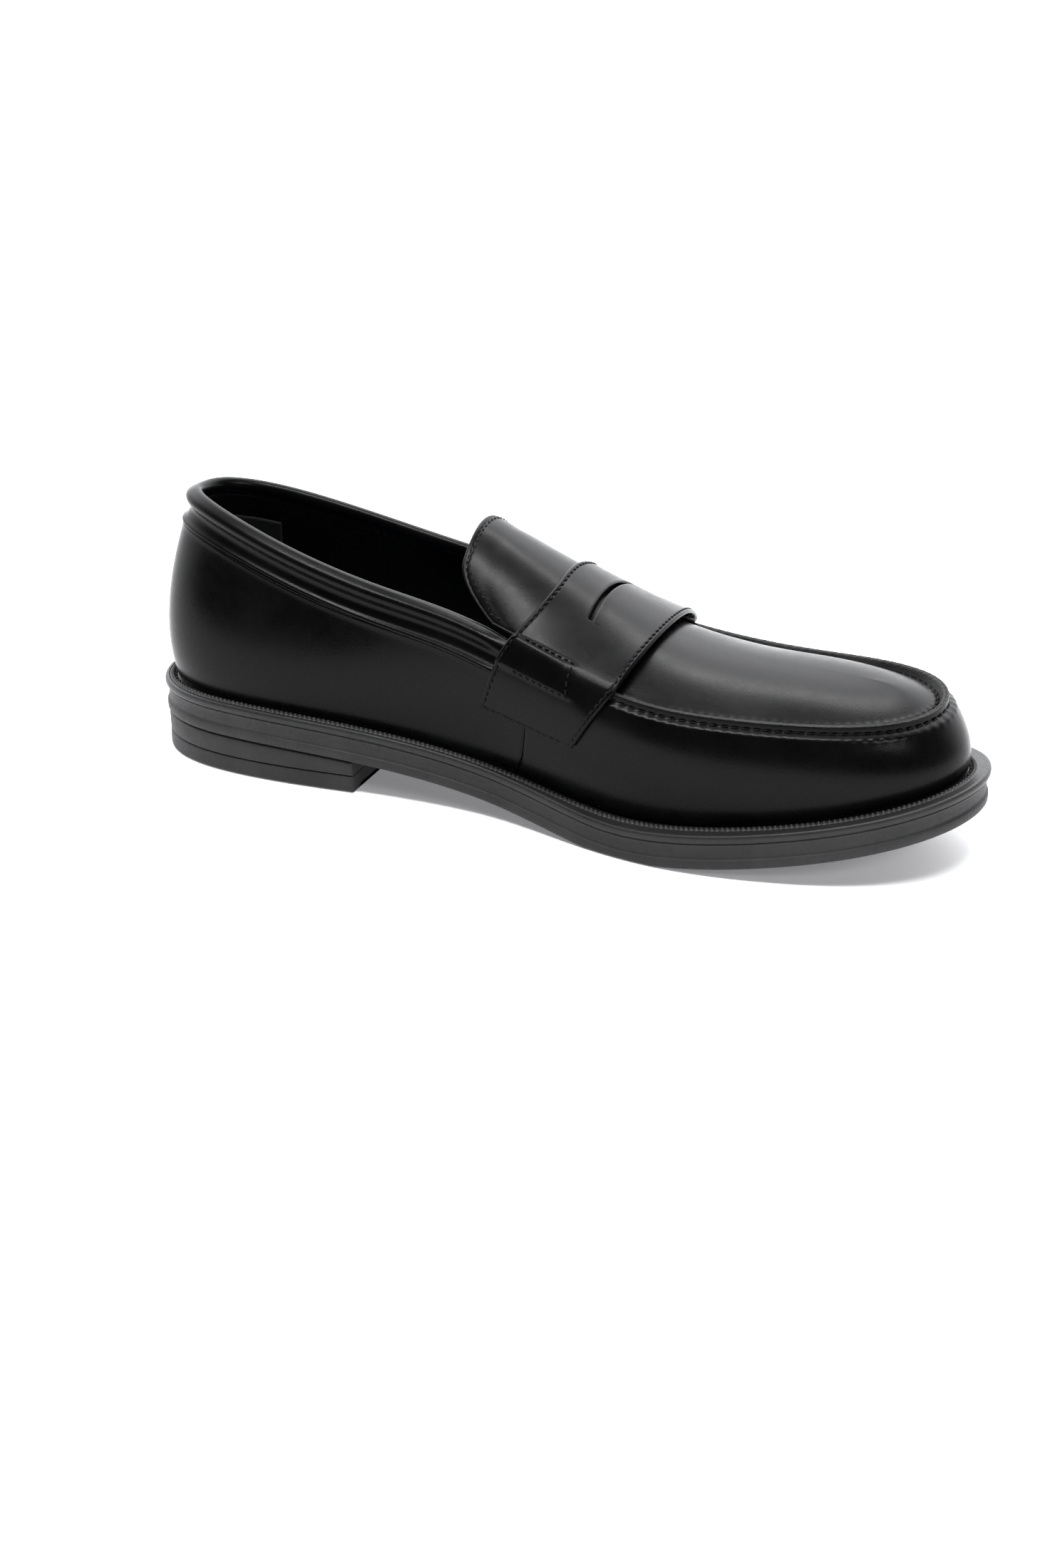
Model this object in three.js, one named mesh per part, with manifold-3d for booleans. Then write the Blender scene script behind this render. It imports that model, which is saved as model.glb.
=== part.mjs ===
// Penny loafer, the left shoe of a pair, in millimetres.
// +X points towards the toe, +Y to the wearer's left (the outer side of this shoe), +Z up.
// While it is drawn, x is measured from the back of the last; the last lines centre the shoe.
import * as THREE from "three";
import { mergeVertices } from "three/addons/utils/BufferGeometryUtils.js";
import Module from "manifold-3d";

const wasm = await Module();
wasm.setup();

// ---------------------------------------------------------------- driving dimensions

// The last has 12 stations from the heel (0) to the toe (11). Each row gives the feather line,
// where the upper meets the sole, and the rim, which is the topline and then the apron seam:
// [feather x, lateral y, medial y, rim x, lateral y, medial y, lateral z, medial z]
const STATIONS = [
  [6, 0, 0, 12, 0.5, 0.5, 92, 92],
  [8, 20, -19.5, 14, 12.5, -11, 91.5, 93.5],
  [26, 33, -32.5, 31, 24, -21, 87.5, 90.5],
  [62, 35.5, -34.5, 60.5, 31, -27, 79.5, 81.5],
  [100, 35, -30.5, 92.5, 33.5, -28, 72, 73.5],
  [138, 39, -30.5, 124.5, 32, -29, 67, 69.5],
  [172, 47.5, -39, 157.5, 35, -36.5, 57.5, 61],
  [205, 49.5, -45.5, 193.5, 38.5, -44.5, 49.5, 52.5],
  [238, 40.5, -42.5, 226, 35.5, -40.5, 49, 51.5],
  [265.5, 31, -36, 256, 29.5, -34.5, 52.2, 51.5],
  [287, 17.5, -22.5, 279, 18.5, -21, 53.8, 51.2],
  [296, -2, -2, 288, -1.5, -1.5, 53, 53],
];
const LOW_BULGE = [8, 8, 6, 6, 6, 6, 5, 3.5, 3, 3, 3, 3]; // fullness above the feather line
const HIGH_BULGE = [9, 7, 4, 2.5, 3, 7, 8, 8, 7, 6, 5.5, 5.5]; // fullness below the rim
const TOE = STATIONS.length - 1; // station of the toe
const RING = 2 * TOE; // stations all the way round

const CROWN = 31; // height of the instep above the rim, at its highest
const CROWN_START = 100; // x where the crown starts to fall
const CROWN_LENGTH = 180; // distance over which it falls to nothing
const CROWN_FALL = 0.8; // power of its fall along the shoe: quick at first
const CROWN_ROUND = 2; // power of its fall from the middle to each rim
const APRON_DROP = 2.7; // the apron lies this far below the raised seam
const APRON_DOME = 1.2; // its middle is this much fuller near the toe, and flatter under the strap

const LEATHER = 1.4;
const STIFFENER = [-2.6, -1.7]; // offsets inwards from the outer surface: counter and toe puff
const LINING = [-3.8, -2.9];
const GRIP = [-5, -4.2];
const STRAP = [0.6, 2]; // offsets outwards: it bridges the raised seam
const GAP = 0.3; // air between touching pieces
const LASTING_MARGIN = 11; // leather turned under the insole

const HEEL_HEIGHT = 15.3; // lift of the outsole at the heel
const SOLE = 12.7; // welt and outsole together
const WELT = 3.2;
const TOE_SPRING = 18.6;
const WELT_REAR = 4.9; // how far the sole stands out from the upper
const WELT_FRONT = 7.6;
const HEEL_BREAST = 87; // x of the heel's front face
const TOP_PIECE = 6; // rubber lift under the heel
const BALL_FLAT = 1.6; // the sole is let down this far, so that the ball rests on a flat
const HEEL_LIFT = { end: 182, length: 145, round: 0.08 }; // x where the heel's lift has gone
const TOE_LIFT = { start: 187, length: 109, round: 0.12, power: 1.45 }; // x where the toe lifts
const WELT_WIDENS = { from: 130, to: 200 }; // x between which the welt reaches its front width
const BULGE_LEVEL = { low: 0.35, high: 0.3 }; // shares of the wall's height from its two edges
const RIM_LEVEL = 0.97; // level of the wall where the direction near the rim is taken
const SIDE_SEAM = { foot: 5.28, lean: 0.8 }; // station at the feather line, and its lean forwards

const TONGUE_HINGE = { station: 5.74, lift: 1 }; // bend line, just above the ridge of the instep

// ---------------------------------------------------------------- curves of the last

const clamp = (v) => Math.min(1, Math.max(0, v));
const smooth = (a, b, v) => {
  const s = clamp((v - a) / (b - a));
  return s * s * (3 - 2 * s);
};
const vec = (x, y, z = 0) => new THREE.Vector3(x, y, z);
const linspace = (a, b, n) =>
  Array.from({ length: n + 1 }, (_, i) => a + ((b - a) * i) / n);

// How far the sole lifts off the ground at x: heel, waist, ball and toe spring.
function soleRise(x) {
  const ease = (v, round) => (v + Math.hypot(v, round)) / 2;
  const back = clamp(ease((HEEL_LIFT.end - x) / HEEL_LIFT.length, HEEL_LIFT.round));
  const front = ease((x - TOE_LIFT.start) / TOE_LIFT.length, TOE_LIFT.round);
  const heel = HEEL_HEIGHT * Math.sin((back * Math.PI) / 2);
  return heel + TOE_SPRING * front ** TOE_LIFT.power - BALL_FLAT;
}
const soleTop = (x) => soleRise(x) + SOLE;
const soleFoot = (x) => Math.max(0, soleRise(x)); // the ball is worn flat where it touches
const weltWidth = (x) =>
  WELT_REAR + (WELT_FRONT - WELT_REAR) * smooth(WELT_WIDENS.from, WELT_WIDENS.to, x);

// A ring of control points: the lateral side from heel to toe, then the medial side back.
function ring(lateral, medial) {
  return [...lateral, ...medial.slice(1, TOE).reverse()];
}
const featherRing = ring(
  STATIONS.map((s) => vec(s[0], s[1])),
  STATIONS.map((s) => vec(s[0], s[2])),
);
const rimRing = ring(
  STATIONS.map((s) => vec(s[3], s[4], s[6])),
  STATIONS.map((s) => vec(s[3], s[5], s[7])),
);
featherRing.forEach((p) => (p.z = soleTop(p.x)));
const lowBulge = ring(LOW_BULGE, LOW_BULGE);
const highBulge = ring(HIGH_BULGE, HIGH_BULGE);

// Outward direction in plan at each point of a ring, whose points run clockwise from above.
function planNormals(points) {
  return points.map((_, i) => {
    const before = points[(i + RING - 1) % RING];
    const after = points[(i + 1) % RING];
    return vec(before.y - after.y, after.x - before.x).normalize();
  });
}
const featherOut = planNormals(featherRing);
const rimOut = planNormals(rimRing);
const height = (i) => rimRing[i].z - featherRing[i].z;
const lowRing = featherRing.map((p, i) =>
  p.clone().addScaledVector(featherOut[i], lowBulge[i]).add(vec(0, 0, BULGE_LEVEL.low * height(i))),
);
const highRing = rimRing.map((p, i) =>
  p.clone().addScaledVector(rimOut[i], highBulge[i]).add(vec(0, 0, -BULGE_LEVEL.high * height(i))),
);

// Closed uniform cubic B-spline through a ring, at station u.
function spline(points, u) {
  const i = Math.floor(u);
  const t = u - i;
  const weights = [
    (1 - t) ** 3 / 6,
    (3 * t ** 3 - 6 * t ** 2 + 4) / 6,
    (-3 * t ** 3 + 3 * t ** 2 + 3 * t + 1) / 6,
    t ** 3 / 6,
  ];
  const sum = vec(0, 0);
  weights.forEach((w, k) => sum.addScaledVector(points[(((i + k - 1) % RING) + RING) % RING], w));
  return sum;
}

// The side wall: station u round the shoe, v from 0 at the feather line to 1 at the rim.
function wall(u, v) {
  const [a, b, c, d] = [featherRing, lowRing, highRing, rimRing].map((r) => spline(r, u));
  return vec(0, 0)
    .addScaledVector(a, (1 - v) ** 3)
    .addScaledVector(b, 3 * (1 - v) ** 2 * v)
    .addScaledVector(c, 3 * (1 - v) * v ** 2)
    .addScaledVector(d, v ** 3);
}
const crown = (x) => CROWN * (1 - clamp((x - CROWN_START) / CROWN_LENGTH) ** CROWN_FALL);

// The whole section at station t: q runs from -2, the medial feather line, over -1 and 1, the two
// rims, to 2, the lateral feather line.
function section(t, q) {
  if (Math.abs(q) >= 1) return wall(q < 0 ? RING - t : t, 2 - Math.abs(q));
  const p = spline(rimRing, RING - t).lerp(spline(rimRing, t), (q + 1) / 2);
  p.z += crown(p.x) * (1 - Math.abs(q) ** CROWN_ROUND);
  return p;
}

// The direction off a surface f(a, b) at one point, a quarter turn from both of its curves.
function facing(surface, a, b) {
  const e = 0.01;
  const alongA = surface(a + e, b).sub(surface(a - e, b));
  const alongB = surface(a, b + e).sub(surface(a, b - e));
  return alongA.cross(alongB).normalize();
}
const wallOut = (u, v) => facing(wall, u, Math.min(Math.max(v, 0.01), 0.99)).negate();

// A point of the upper at a distance off its outer surface. Below v = 0 the leather turns under
// the insole, by up to the lasting margin at v = -1.
function upper(u, v, distance) {
  if (v > 0) return wall(u, v).addScaledVector(wallOut(u, v), distance);
  const foot = spline(featherRing, u);
  const out = wallOut(u, 0).setZ(0).normalize();
  const p = foot.addScaledVector(out, v === 0 ? distance : v * LASTING_MARGIN);
  return p.setZ(soleTop(p.x) - distance);
}
const across = (t, q, distance) => section(t, q).addScaledVector(facing(section, t, q), distance);

// ---------------------------------------------------------------- solids from grids of points

// A closed geometry from triangles of points, turned so that its faces point out.
function solid(triangles) {
  let volume = 0;
  for (const [a, b, c] of triangles) volume += a.dot(b.clone().cross(c));
  const flat = triangles.flatMap(([a, b, c]) => (volume > 0 ? [a, b, c] : [a, c, b]));
  return new THREE.BufferGeometry().setFromPoints(flat);
}
function quad(a, b, c, d) {
  return [
    [a, b, c],
    [a, c, d],
  ];
}

// A thin shell over a grid: place(a, b, distance) gives its points, between two distances off the
// surface. A shell that runs to a shared spine has no edge there.
function shell(columns, rows, place, [inner, outer], spine = false) {
  const lay = (d) => columns.map((a) => rows.map((b) => place(a, b, d)));
  const top = lay(outer);
  const low = lay(inner);
  const faces = [];
  const n = columns.length - 1;
  const m = rows.length - 1;
  for (let i = 0; i < n; i++) {
    for (let j = 0; j < m; j++) {
      faces.push(...quad(top[i][j], top[i + 1][j], top[i + 1][j + 1], top[i][j + 1]));
      faces.push(...quad(low[i][j], low[i][j + 1], low[i + 1][j + 1], low[i + 1][j]));
    }
    faces.push(...quad(low[i][0], low[i + 1][0], top[i + 1][0], top[i][0]));
    if (!spine) faces.push(...quad(top[i][m], top[i + 1][m], low[i + 1][m], low[i][m]));
  }
  for (let j = 0; j < m; j++) {
    faces.push(...quad(top[0][j], top[0][j + 1], low[0][j + 1], low[0][j]));
    faces.push(...quad(top[n][j + 1], top[n][j], low[n][j], low[n][j + 1]));
  }
  return solid(faces);
}

// A solid swept along columns. loop(a) gives the closed section there; its ends are capped with
// the triangles of the flat outline, or it joins up into a ring.
function sweep(columns, loop, outline) {
  const loops = columns.map(loop);
  const count = loops[0].length;
  const faces = [];
  const last = outline ? loops.length - 1 : loops.length;
  for (let i = 0; i < last; i++) {
    const here = loops[i];
    const next = loops[(i + 1) % loops.length];
    for (let k = 0; k < count; k++) {
      const l = (k + 1) % count;
      faces.push(...quad(here[k], next[k], next[l], here[l]));
    }
  }
  if (outline) {
    const flat = outline.map(([x, y]) => new THREE.Vector2(x, y));
    const turn = THREE.ShapeUtils.isClockWise(flat) ? -1 : 1;
    for (const t of THREE.ShapeUtils.triangulateShape(flat, [])) {
      const [a, b, c] = turn > 0 ? t : [t[0], t[2], t[1]];
      faces.push([loops[0][a], loops[0][b], loops[0][c]]);
      faces.push([loops[last][a], loops[last][c], loops[last][b]]);
    }
  }
  return solid(faces);
}

// Stations round the shoe, close together at the heel and toe and further apart at the sides.
const LATTICE = linspace(0, RING, 4 * RING).filter((u) => {
  const fromHeel = Math.min(u, RING - u);
  const round = fromHeel < 2 || fromHeel > TOE - 3;
  return u < RING && (round || (2 * u) % 1 === 0);
});
function stations(from, to, clear = 0.1) {
  const wide = [...LATTICE.map((u) => u - RING), ...LATTICE];
  return [from, ...wide.filter((u) => u > from + clear && u < to - clear), to];
}

// The middle line that flat pieces of the bottom are filled to.
const SPINE = { heel: 38, toe: 254 };
function spinePoint(u) {
  const heel = STATIONS[0][0];
  const share = (spline(featherRing, u).x - heel) / (STATIONS[TOE][0] - heel);
  return vec(SPINE.heel + (SPINE.toe - SPINE.heel) * share, 0);
}

// A flat piece of the bottom: each level of its edge is [distance outwards, height at x].
function plate(levels, rows = 2) {
  const fill = linspace(0, 1, rows).slice(1);
  const chain = (u) => {
    const foot = spline(featherRing, u);
    const out = wallOut(u, 0).setZ(0).normalize();
    const edge = levels.map(([reach, rise]) => {
      const p = foot.clone().addScaledVector(out, typeof reach === "number" ? reach : reach(foot.x));
      return p.setZ(rise(p.x));
    });
    const inwards = (from, rise) =>
      fill.map((k) => {
        const p = from.clone().lerp(spinePoint(u), k);
        return p.setZ(rise(p.x));
      });
    const top = inwards(edge[0], levels[0][1]).reverse();
    const bottom = inwards(edge[edge.length - 1], levels[levels.length - 1][1]);
    return [...top, ...edge, ...bottom];
  };
  const chains = LATTICE.map(chain);
  const faces = [];
  chains.forEach((here, i) => {
    const next = chains[(i + 1) % chains.length];
    for (let k = 0; k + 1 < here.length; k++)
      faces.push(...quad(here[k], next[k], next[k + 1], here[k + 1]));
  });
  return solid(faces);
}

// ---------------------------------------------------------------- cutting

function toManifold(geometry) {
  const bare = geometry.clone();
  bare.deleteAttribute("normal");
  bare.deleteAttribute("uv");
  const merged = mergeVertices(bare, 1e-3);
  return new wasm.Manifold(
    new wasm.Mesh({
      numProp: 3,
      vertProperties: new Float32Array(merged.attributes.position.array),
      triVerts: new Uint32Array(merged.index.array),
    }),
  );
}
function fromManifold(made) {
  const mesh = made.getMesh();
  return new THREE.BufferGeometry()
    .setAttribute("position", new THREE.BufferAttribute(new Float32Array(mesh.vertProperties), 3))
    .setIndex(new THREE.BufferAttribute(new Uint32Array(mesh.triVerts), 1));
}
function cut(geometry, tools) {
  return fromManifold(tools.reduce((rest, t) => rest.subtract(toManifold(t)), toManifold(geometry)));
}
// The stretch of a piece between two values of x.
const WELL_BEHIND = -20;
const WELL_AHEAD = 320;
function between(geometry, from, to) {
  const wide = WELL_AHEAD;
  const box = new THREE.BoxGeometry(to - from, wide, wide).translate((from + to) / 2, 0, 0);
  return fromManifold(toManifold(geometry).intersect(toManifold(box)));
}

// ---------------------------------------------------------------- materials

const finish = (color, roughness, metalness = 0) =>
  new THREE.MeshStandardMaterial({ color, roughness, metalness });
const blackLeather = finish(0x17171a, 0.32);
const blackLining = finish(0x121214, 0.7);
const suede = finish(0x19191b, 0.95);
const navySock = finish(0x14243c, 0.6);
const board = finish(0x8a6f4e, 0.9);
const cork = finish(0x9a7448, 0.95);
const foam = finish(0x3b3d42, 0.95);
const rubber = finish(0x1c1c1d, 0.6);
const steel = finish(0x9a9ca0, 0.35, 1);

const shoe = new THREE.Group();
const upperGroup = new THREE.Group();
const tongueGroup = new THREE.Group();
const bottomGroup = new THREE.Group();
const heelGroup = new THREE.Group();
shoe.add(upperGroup, tongueGroup, bottomGroup, heelGroup);

function add(group, name, geometry, material) {
  geometry.computeVertexNormals();
  const mesh = new THREE.Mesh(geometry, material);
  mesh.name = name;
  group.add(mesh);
}

// ---------------------------------------------------------------- the upper

// The side seam between vamp and quarter leans forward as it rises.
const seamStation = (v) => SIDE_SEAM.foot + SIDE_SEAM.lean * Math.max(0, v);
const SEAM_GAP = 0.01; // in stations

function vamp() {
  const free = 6.5; // from this station on the columns stand upright
  const lean = (a, v) => {
    const start = seamStation(v) + SEAM_GAP;
    return a < free ? start + ((a - 5) / (free - 5)) * (free - start) : a;
  };
  const half = [5, 5.5, 6, ...stations(free, TOE)];
  const columns = [...half, ...half.slice(0, -1).reverse().map((u) => RING - u)];
  const place = (a, v, d) => upper(a <= TOE ? lean(a, v) : RING - lean(RING - a, v), v, d);
  const rows = [-1, 0, 0.18, 0.38, 0.6, 0.8, 1];
  return shell(columns, rows, place, [-LEATHER, 0]);
}

// The level v of the wall at a straight distance below the rim.
function levelBelowRim(u, depth) {
  const rim = wall(u, 1);
  let [low, high] = [0, 1];
  for (let i = 0; i < 20; i++) {
    const v = (low + high) / 2;
    if (wall(u, v).distanceTo(rim) > depth) low = v;
    else high = v;
  }
  return low;
}

// Each quarter reaches up to the binding that runs along the topline.
const BINDING_DEPTH = 11.6;
const quarterTop = (u) => levelBelowRim(u, BINDING_DEPTH + 4 * GAP);
const QUARTER_ROWS = [-1, 0, 0.2, 0.4, 0.6, 0.8, 1];
function quarter(side) {
  const upright = 4; // up to this station the columns stand upright
  const place = (a, k, d) => {
    const lean = (v) => {
      const end = seamStation(v) - SEAM_GAP;
      const t = a > upright ? upright + ((a - upright) / 1.5) * (end - upright) : a;
      return side > 0 ? t : RING - t;
    };
    const v = k < 0 ? k : k * quarterTop(lean(0.75));
    return upper(lean(v), v, d);
  };
  const columns = [...stations(SEAM_GAP, upright), 4.5, 5, 5.5];
  return shell(columns, QUARTER_ROWS, place, [-LEATHER, 0]);
}

// The binding rolls over the topline, and its two ends lie under the strap. Its section is
// [distance outwards, height up the wall] from the rim.
const ROLL = [
  [-1.2, -BINDING_DEPTH],
  [0, -BINDING_DEPTH],
  [0.7, -5],
  [0.9, -1.6],
  [-0.4, 0.4],
  [-2.6, 0.2],
  [-3.7, -1.9],
  [-1.4, -3.6],
];
const BINDING_END = 5.84;
function binding() {
  const loop = (t) => {
    const u = (t + RING) % RING;
    const rim = spline(rimRing, u);
    const out = wallOut(u, RIM_LEVEL);
    const up = rim.clone().sub(wall(u, RIM_LEVEL)).normalize();
    return ROLL.map(([n, s]) => rim.clone().addScaledVector(out, n).addScaledVector(up, s));
  };
  return sweep(stations(-BINDING_END, BINDING_END), loop, ROLL);
}

// The strap crosses the instep and reaches a third of the way down each side.
const STRAP_REACH = 1.55;
const sweepBack = (q, from, rate, power) => rate * Math.max(0, Math.abs(q) - from) ** power;
const REAR_EDGE = { middle: 5.875, from: 0.3, rate: 0.485, power: 1.92 };
const FRONT_EDGE = { middle: 6.945, bow: 0.15, from: 0.95, rate: 0.78, power: 1.44 };
const strapRear = (q) =>
  REAR_EDGE.middle - sweepBack(q, REAR_EDGE.from, REAR_EDGE.rate, REAR_EDGE.power);
const strapFront = (q) =>
  FRONT_EDGE.middle -
  FRONT_EDGE.bow * q * q -
  sweepBack(q, FRONT_EDGE.from, FRONT_EDGE.rate, FRONT_EDGE.power);
const SLOT = { reach: 0.54, station: 6.285, bend: 0.02, half: 0.033 };

// The end of the binding pads the strap out, inside a stitched outline on each side.
const PADDED = { rise: 1.2, front: 6.34, top: 0.92, bottom: 1.36, soft: 0.12 };
function strapRise(t, q) {
  const side = Math.abs(q);
  const along = 1 - smooth(PADDED.front, PADDED.front + 2 * PADDED.soft, t);
  const above = smooth(PADDED.top - PADDED.soft, PADDED.top, side);
  const below = 1 - smooth(PADDED.bottom, PADDED.bottom + PADDED.soft, side);
  return PADDED.rise * along * above * below;
}
function strap() {
  const columns = linspace(-STRAP_REACH, STRAP_REACH, 28);
  const place = (q, b, d) => {
    const t = strapRear(q) + (strapFront(q) - strapRear(q)) * b;
    return across(t, q, d + strapRise(t, q));
  };
  const body = shell(columns, linspace(0, 1, 6), place, STRAP);
  const slotPlace = (q, b, d) =>
    across(SLOT.station + SLOT.bend * (q / SLOT.reach) ** 2 + SLOT.half * b, q, d);
  const slot = shell(linspace(-SLOT.reach, SLOT.reach, 12), [-1, 1], slotPlace, [-1.5, 4]);
  return cut(body, [slot]);
}

// The apron fills the top of the forefoot inside the raised seam, and runs back under the strap.
const APRON_REAR = 6.2;
const APRON_INSET = 2.2;
const APRON_SPINE_TOE = 262;
const DOME_TURNS = { from: 185, to: 250 }; // x between which the middle goes from flatter to fuller
function apron() {
  const rear = spline(rimRing, APRON_REAR).x;
  const toe = spline(rimRing, TOE).x;
  const place = (u, k, drop) => {
    const rim = spline(rimRing, u);
    const other = spline(rimRing, RING - u);
    const out = wallOut(u, RIM_LEVEL).setZ(0).normalize();
    const share = ((rim.x + other.x) / 2 - rear) / (toe - rear);
    const spine = vec(rear + share * (APRON_SPINE_TOE - rear), (rim.y + other.y) / 2);
    if (u === TOE) spine.y = rim.y;
    const p = rim.clone().addScaledVector(out, -APRON_INSET).lerp(spine, k);
    const edge = rim.z + ((other.z - rim.z) * k) / 2;
    const fullness = APRON_DOME * (2 * smooth(DOME_TURNS.from, DOME_TURNS.to, p.x) - 1);
    const dome = (crown(p.x) + APRON_DROP + fullness) * (1 - (1 - k) ** CROWN_ROUND);
    return p.setZ(edge - APRON_DROP + dome + drop);
  };
  const columns = stations(APRON_REAR, RING - APRON_REAR);
  return shell(columns, linspace(0, 1, 5), place, [-LEATHER, 0], true);
}

// The tongue comes out from under the strap and ends in a nearly straight edge with round corners.
const TONGUE_REACH = 0.9;
const TONGUE_END = { middle: 4.905, from: 0.62, width: 0.28, rate: 0.34, power: 2.2 };
const TONGUE_CLEAR = 0.16; // stations between the tongue's front and the strap's rear edge
const tongueEnd = (q) => {
  const corner = Math.max(0, (Math.abs(q) - TONGUE_END.from) / TONGUE_END.width);
  return TONGUE_END.middle + TONGUE_END.rate * corner ** TONGUE_END.power;
};
const tongueFront = (q) => strapRear(q) - TONGUE_CLEAR;
const hinge = section(TONGUE_HINGE.station, 0).setY(0).add(vec(0, 0, TONGUE_HINGE.lift));
tongueGroup.position.copy(hinge);
function tongueShell(inset, distances) {
  const reach = TONGUE_REACH - 0.02 * inset;
  const place = (q, b, d) => {
    const end = tongueEnd(q) + 0.03 * inset;
    return across(end + (tongueFront(q) - end) * b, q, d);
  };
  const body = shell(linspace(-reach, reach, 16), linspace(0, 1, 4), place, distances);
  return body.translate(-hinge.x, -hinge.y, -hinge.z);
}

// The inner layers follow the wall, each between two stations and over its own levels of v.
const LINING_ROWS = [0.1, 0.28, 0.48, 0.7, 0.92];
const GRIP_ROWS = [0.2, 0.4, 0.62, 0.84];
const PUFF_ROWS = [0.1, 0.28, 0.48, 0.7, 0.84];
const COUNTER_ROWS = QUARTER_ROWS.slice(2, -1).map((k) => k * quarterTop(0));
const aroundHeel = (u, v, d) => upper((u + RING) % RING, v, d);
const vampLining = shell(stations(6, RING - 6), LINING_ROWS, upper, LINING);
const quarterLining = shell(stations(-5.7, 5.7), LINING_ROWS, aroundHeel, LINING);
const heelGrip = shell(stations(-2, 2), GRIP_ROWS, aroundHeel, GRIP);
const heelCounter = shell(stations(-2.7, 2.7), COUNTER_ROWS, aroundHeel, STIFFENER);
const toePuff = shell(stations(9, RING - 9), PUFF_ROWS, upper, STIFFENER);

add(upperGroup, "vamp", vamp(), blackLeather);
add(upperGroup, "apron", apron(), blackLeather);
add(upperGroup, "saddle_strap", strap(), blackLeather);
add(upperGroup, "quarter_lateral", quarter(1), blackLeather);
add(upperGroup, "quarter_medial", quarter(-1), blackLeather);
add(upperGroup, "topline_binding", binding(), blackLeather);
add(tongueGroup, "tongue", tongueShell(0, [-LEATHER, 0]), blackLeather);
add(tongueGroup, "tongue_lining", tongueShell(1, STIFFENER), blackLining);

add(upperGroup, "vamp_lining", vampLining, blackLining);
add(upperGroup, "quarter_lining", quarterLining, blackLining);
add(upperGroup, "heel_grip", heelGrip, suede);
add(upperGroup, "heel_counter", heelCounter, board);
add(upperGroup, "toe_puff", toePuff, board);

// ---------------------------------------------------------------- the bottom

const above = (rise) => (x) => soleTop(x) + rise;
const level = (z) => () => z;
const reach = (d) => (x) => weltWidth(x) + d;
const INSOLE = 2.5;
const SOCK = 1;
const PAD = { thick: 1.6, front: 66, fades: 74, gone: 104 }; // foam under the heel of the sock
const insoleFoot = LEATHER + GAP;
const sockFoot = (x) =>
  insoleFoot + INSOLE + 2 * GAP + (PAD.thick + GAP) * (1 - smooth(PAD.fades, PAD.gone, x));
const sockLow = (x) => soleTop(x) + sockFoot(x);
const sockHigh = (x) => sockLow(x) + SOCK;

// Five nails hold the heel on; they pass through the insole board, the outsole and the heel block.
const NAIL = { radius: 1.2, count: 5, circle: 14, x: 33, foot: TOP_PIECE + 2, tip: 3, sunk: 0.6 };
const nailTop = soleTop(NAIL.x) + insoleFoot + INSOLE - NAIL.sunk;
const nailPlaces = linspace(0, 1, NAIL.count)
  .slice(1)
  .map((k) => {
    const turn = Math.PI * (1 + 2 * k);
    return [NAIL.x + NAIL.circle * Math.cos(turn), NAIL.circle * Math.sin(turn)];
  });
function nail([x, y]) {
  const profile = [
    [0, NAIL.foot],
    [NAIL.radius, NAIL.foot + NAIL.tip],
    [NAIL.radius, nailTop],
    [0, nailTop],
  ].map(([r, z]) => new THREE.Vector2(r, z));
  return new THREE.LatheGeometry(profile, 8).rotateX(Math.PI / 2).translate(x, y, 0);
}
const HOLE_LENGTH = 40;
const nailHoles = nailPlaces.map(([x, y]) =>
  new THREE.CylinderGeometry(NAIL.radius + GAP, NAIL.radius + GAP, HOLE_LENGTH, 8)
    .rotateX(Math.PI / 2)
    .translate(x, y, NAIL.foot - GAP + HOLE_LENGTH / 2),
);

const WELT_INNER = -9;
function welt() {
  const edge = (foot, out, n, z) => {
    const p = foot.clone().addScaledVector(out, n);
    return p.setZ(soleTop(p.x) + z);
  };
  const loop = (u) => {
    const foot = spline(featherRing, u);
    const out = wallOut(u, 0).setZ(0).normalize();
    const w = weltWidth(foot.x);
    return [
      [WELT_INNER, -GAP - WELT],
      [w - 0.6, -GAP - WELT],
      [w, -GAP - WELT / 2],
      [w - 0.6, -GAP],
      [2.9, -GAP],
      [2.2, 0.7],
      [1, 0.5],
      [0.4, -GAP],
      [WELT_INNER, -GAP],
    ].map(([n, z]) => edge(foot, out, n, z));
  };
  return sweep(LATTICE, loop);
}

const outsoleTop = -WELT - 2.4 * GAP;
const outsole = plate(
  [
    [reach(-0.5), above(outsoleTop)],
    [reach(-1.4), above(outsoleTop - 0.8)],
    [reach(-1.4), above(-9)],
    [reach(-0.5), above(-9.6)],
    [reach(-0.5), (x) => soleFoot(x) + 0.6],
    [reach(-1.1), soleFoot],
  ],
  3,
);
const heelTop = above(-SOLE - GAP);
const heelBlock = plate([
  [reach(-1), heelTop],
  [reach(-1.4), level(TOP_PIECE + GAP)],
]);
const topPiece = plate([
  [reach(-1.2), level(TOP_PIECE)],
  [reach(-1.2), level(0.8)],
  [reach(-2), level(0)],
]);
const insole = plate([
  [-4.6, above(insoleFoot + INSOLE)],
  [-4.6, above(insoleFoot)],
]);
const sock = plate([
  [-4.9, sockHigh],
  [-4.9, sockLow],
]);
const heelPad = plate([
  [-8, above(insoleFoot + INSOLE + GAP + PAD.thick)],
  [-8, above(insoleFoot + INSOLE + GAP)],
]);
const filler = plate([
  [-LASTING_MARGIN - 1, above(LEATHER - GAP)],
  [-LASTING_MARGIN - 1, above(-WELT)],
]);
const SHANK = { from: 52, to: 140, half: 7, thick: 1.2 };
const shank = shell(
  linspace(SHANK.from, SHANK.to, 8),
  [-SHANK.half, SHANK.half],
  (x, y, d) => vec(x, y, soleTop(x) - 0.6 + d),
  [0, SHANK.thick],
);

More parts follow.
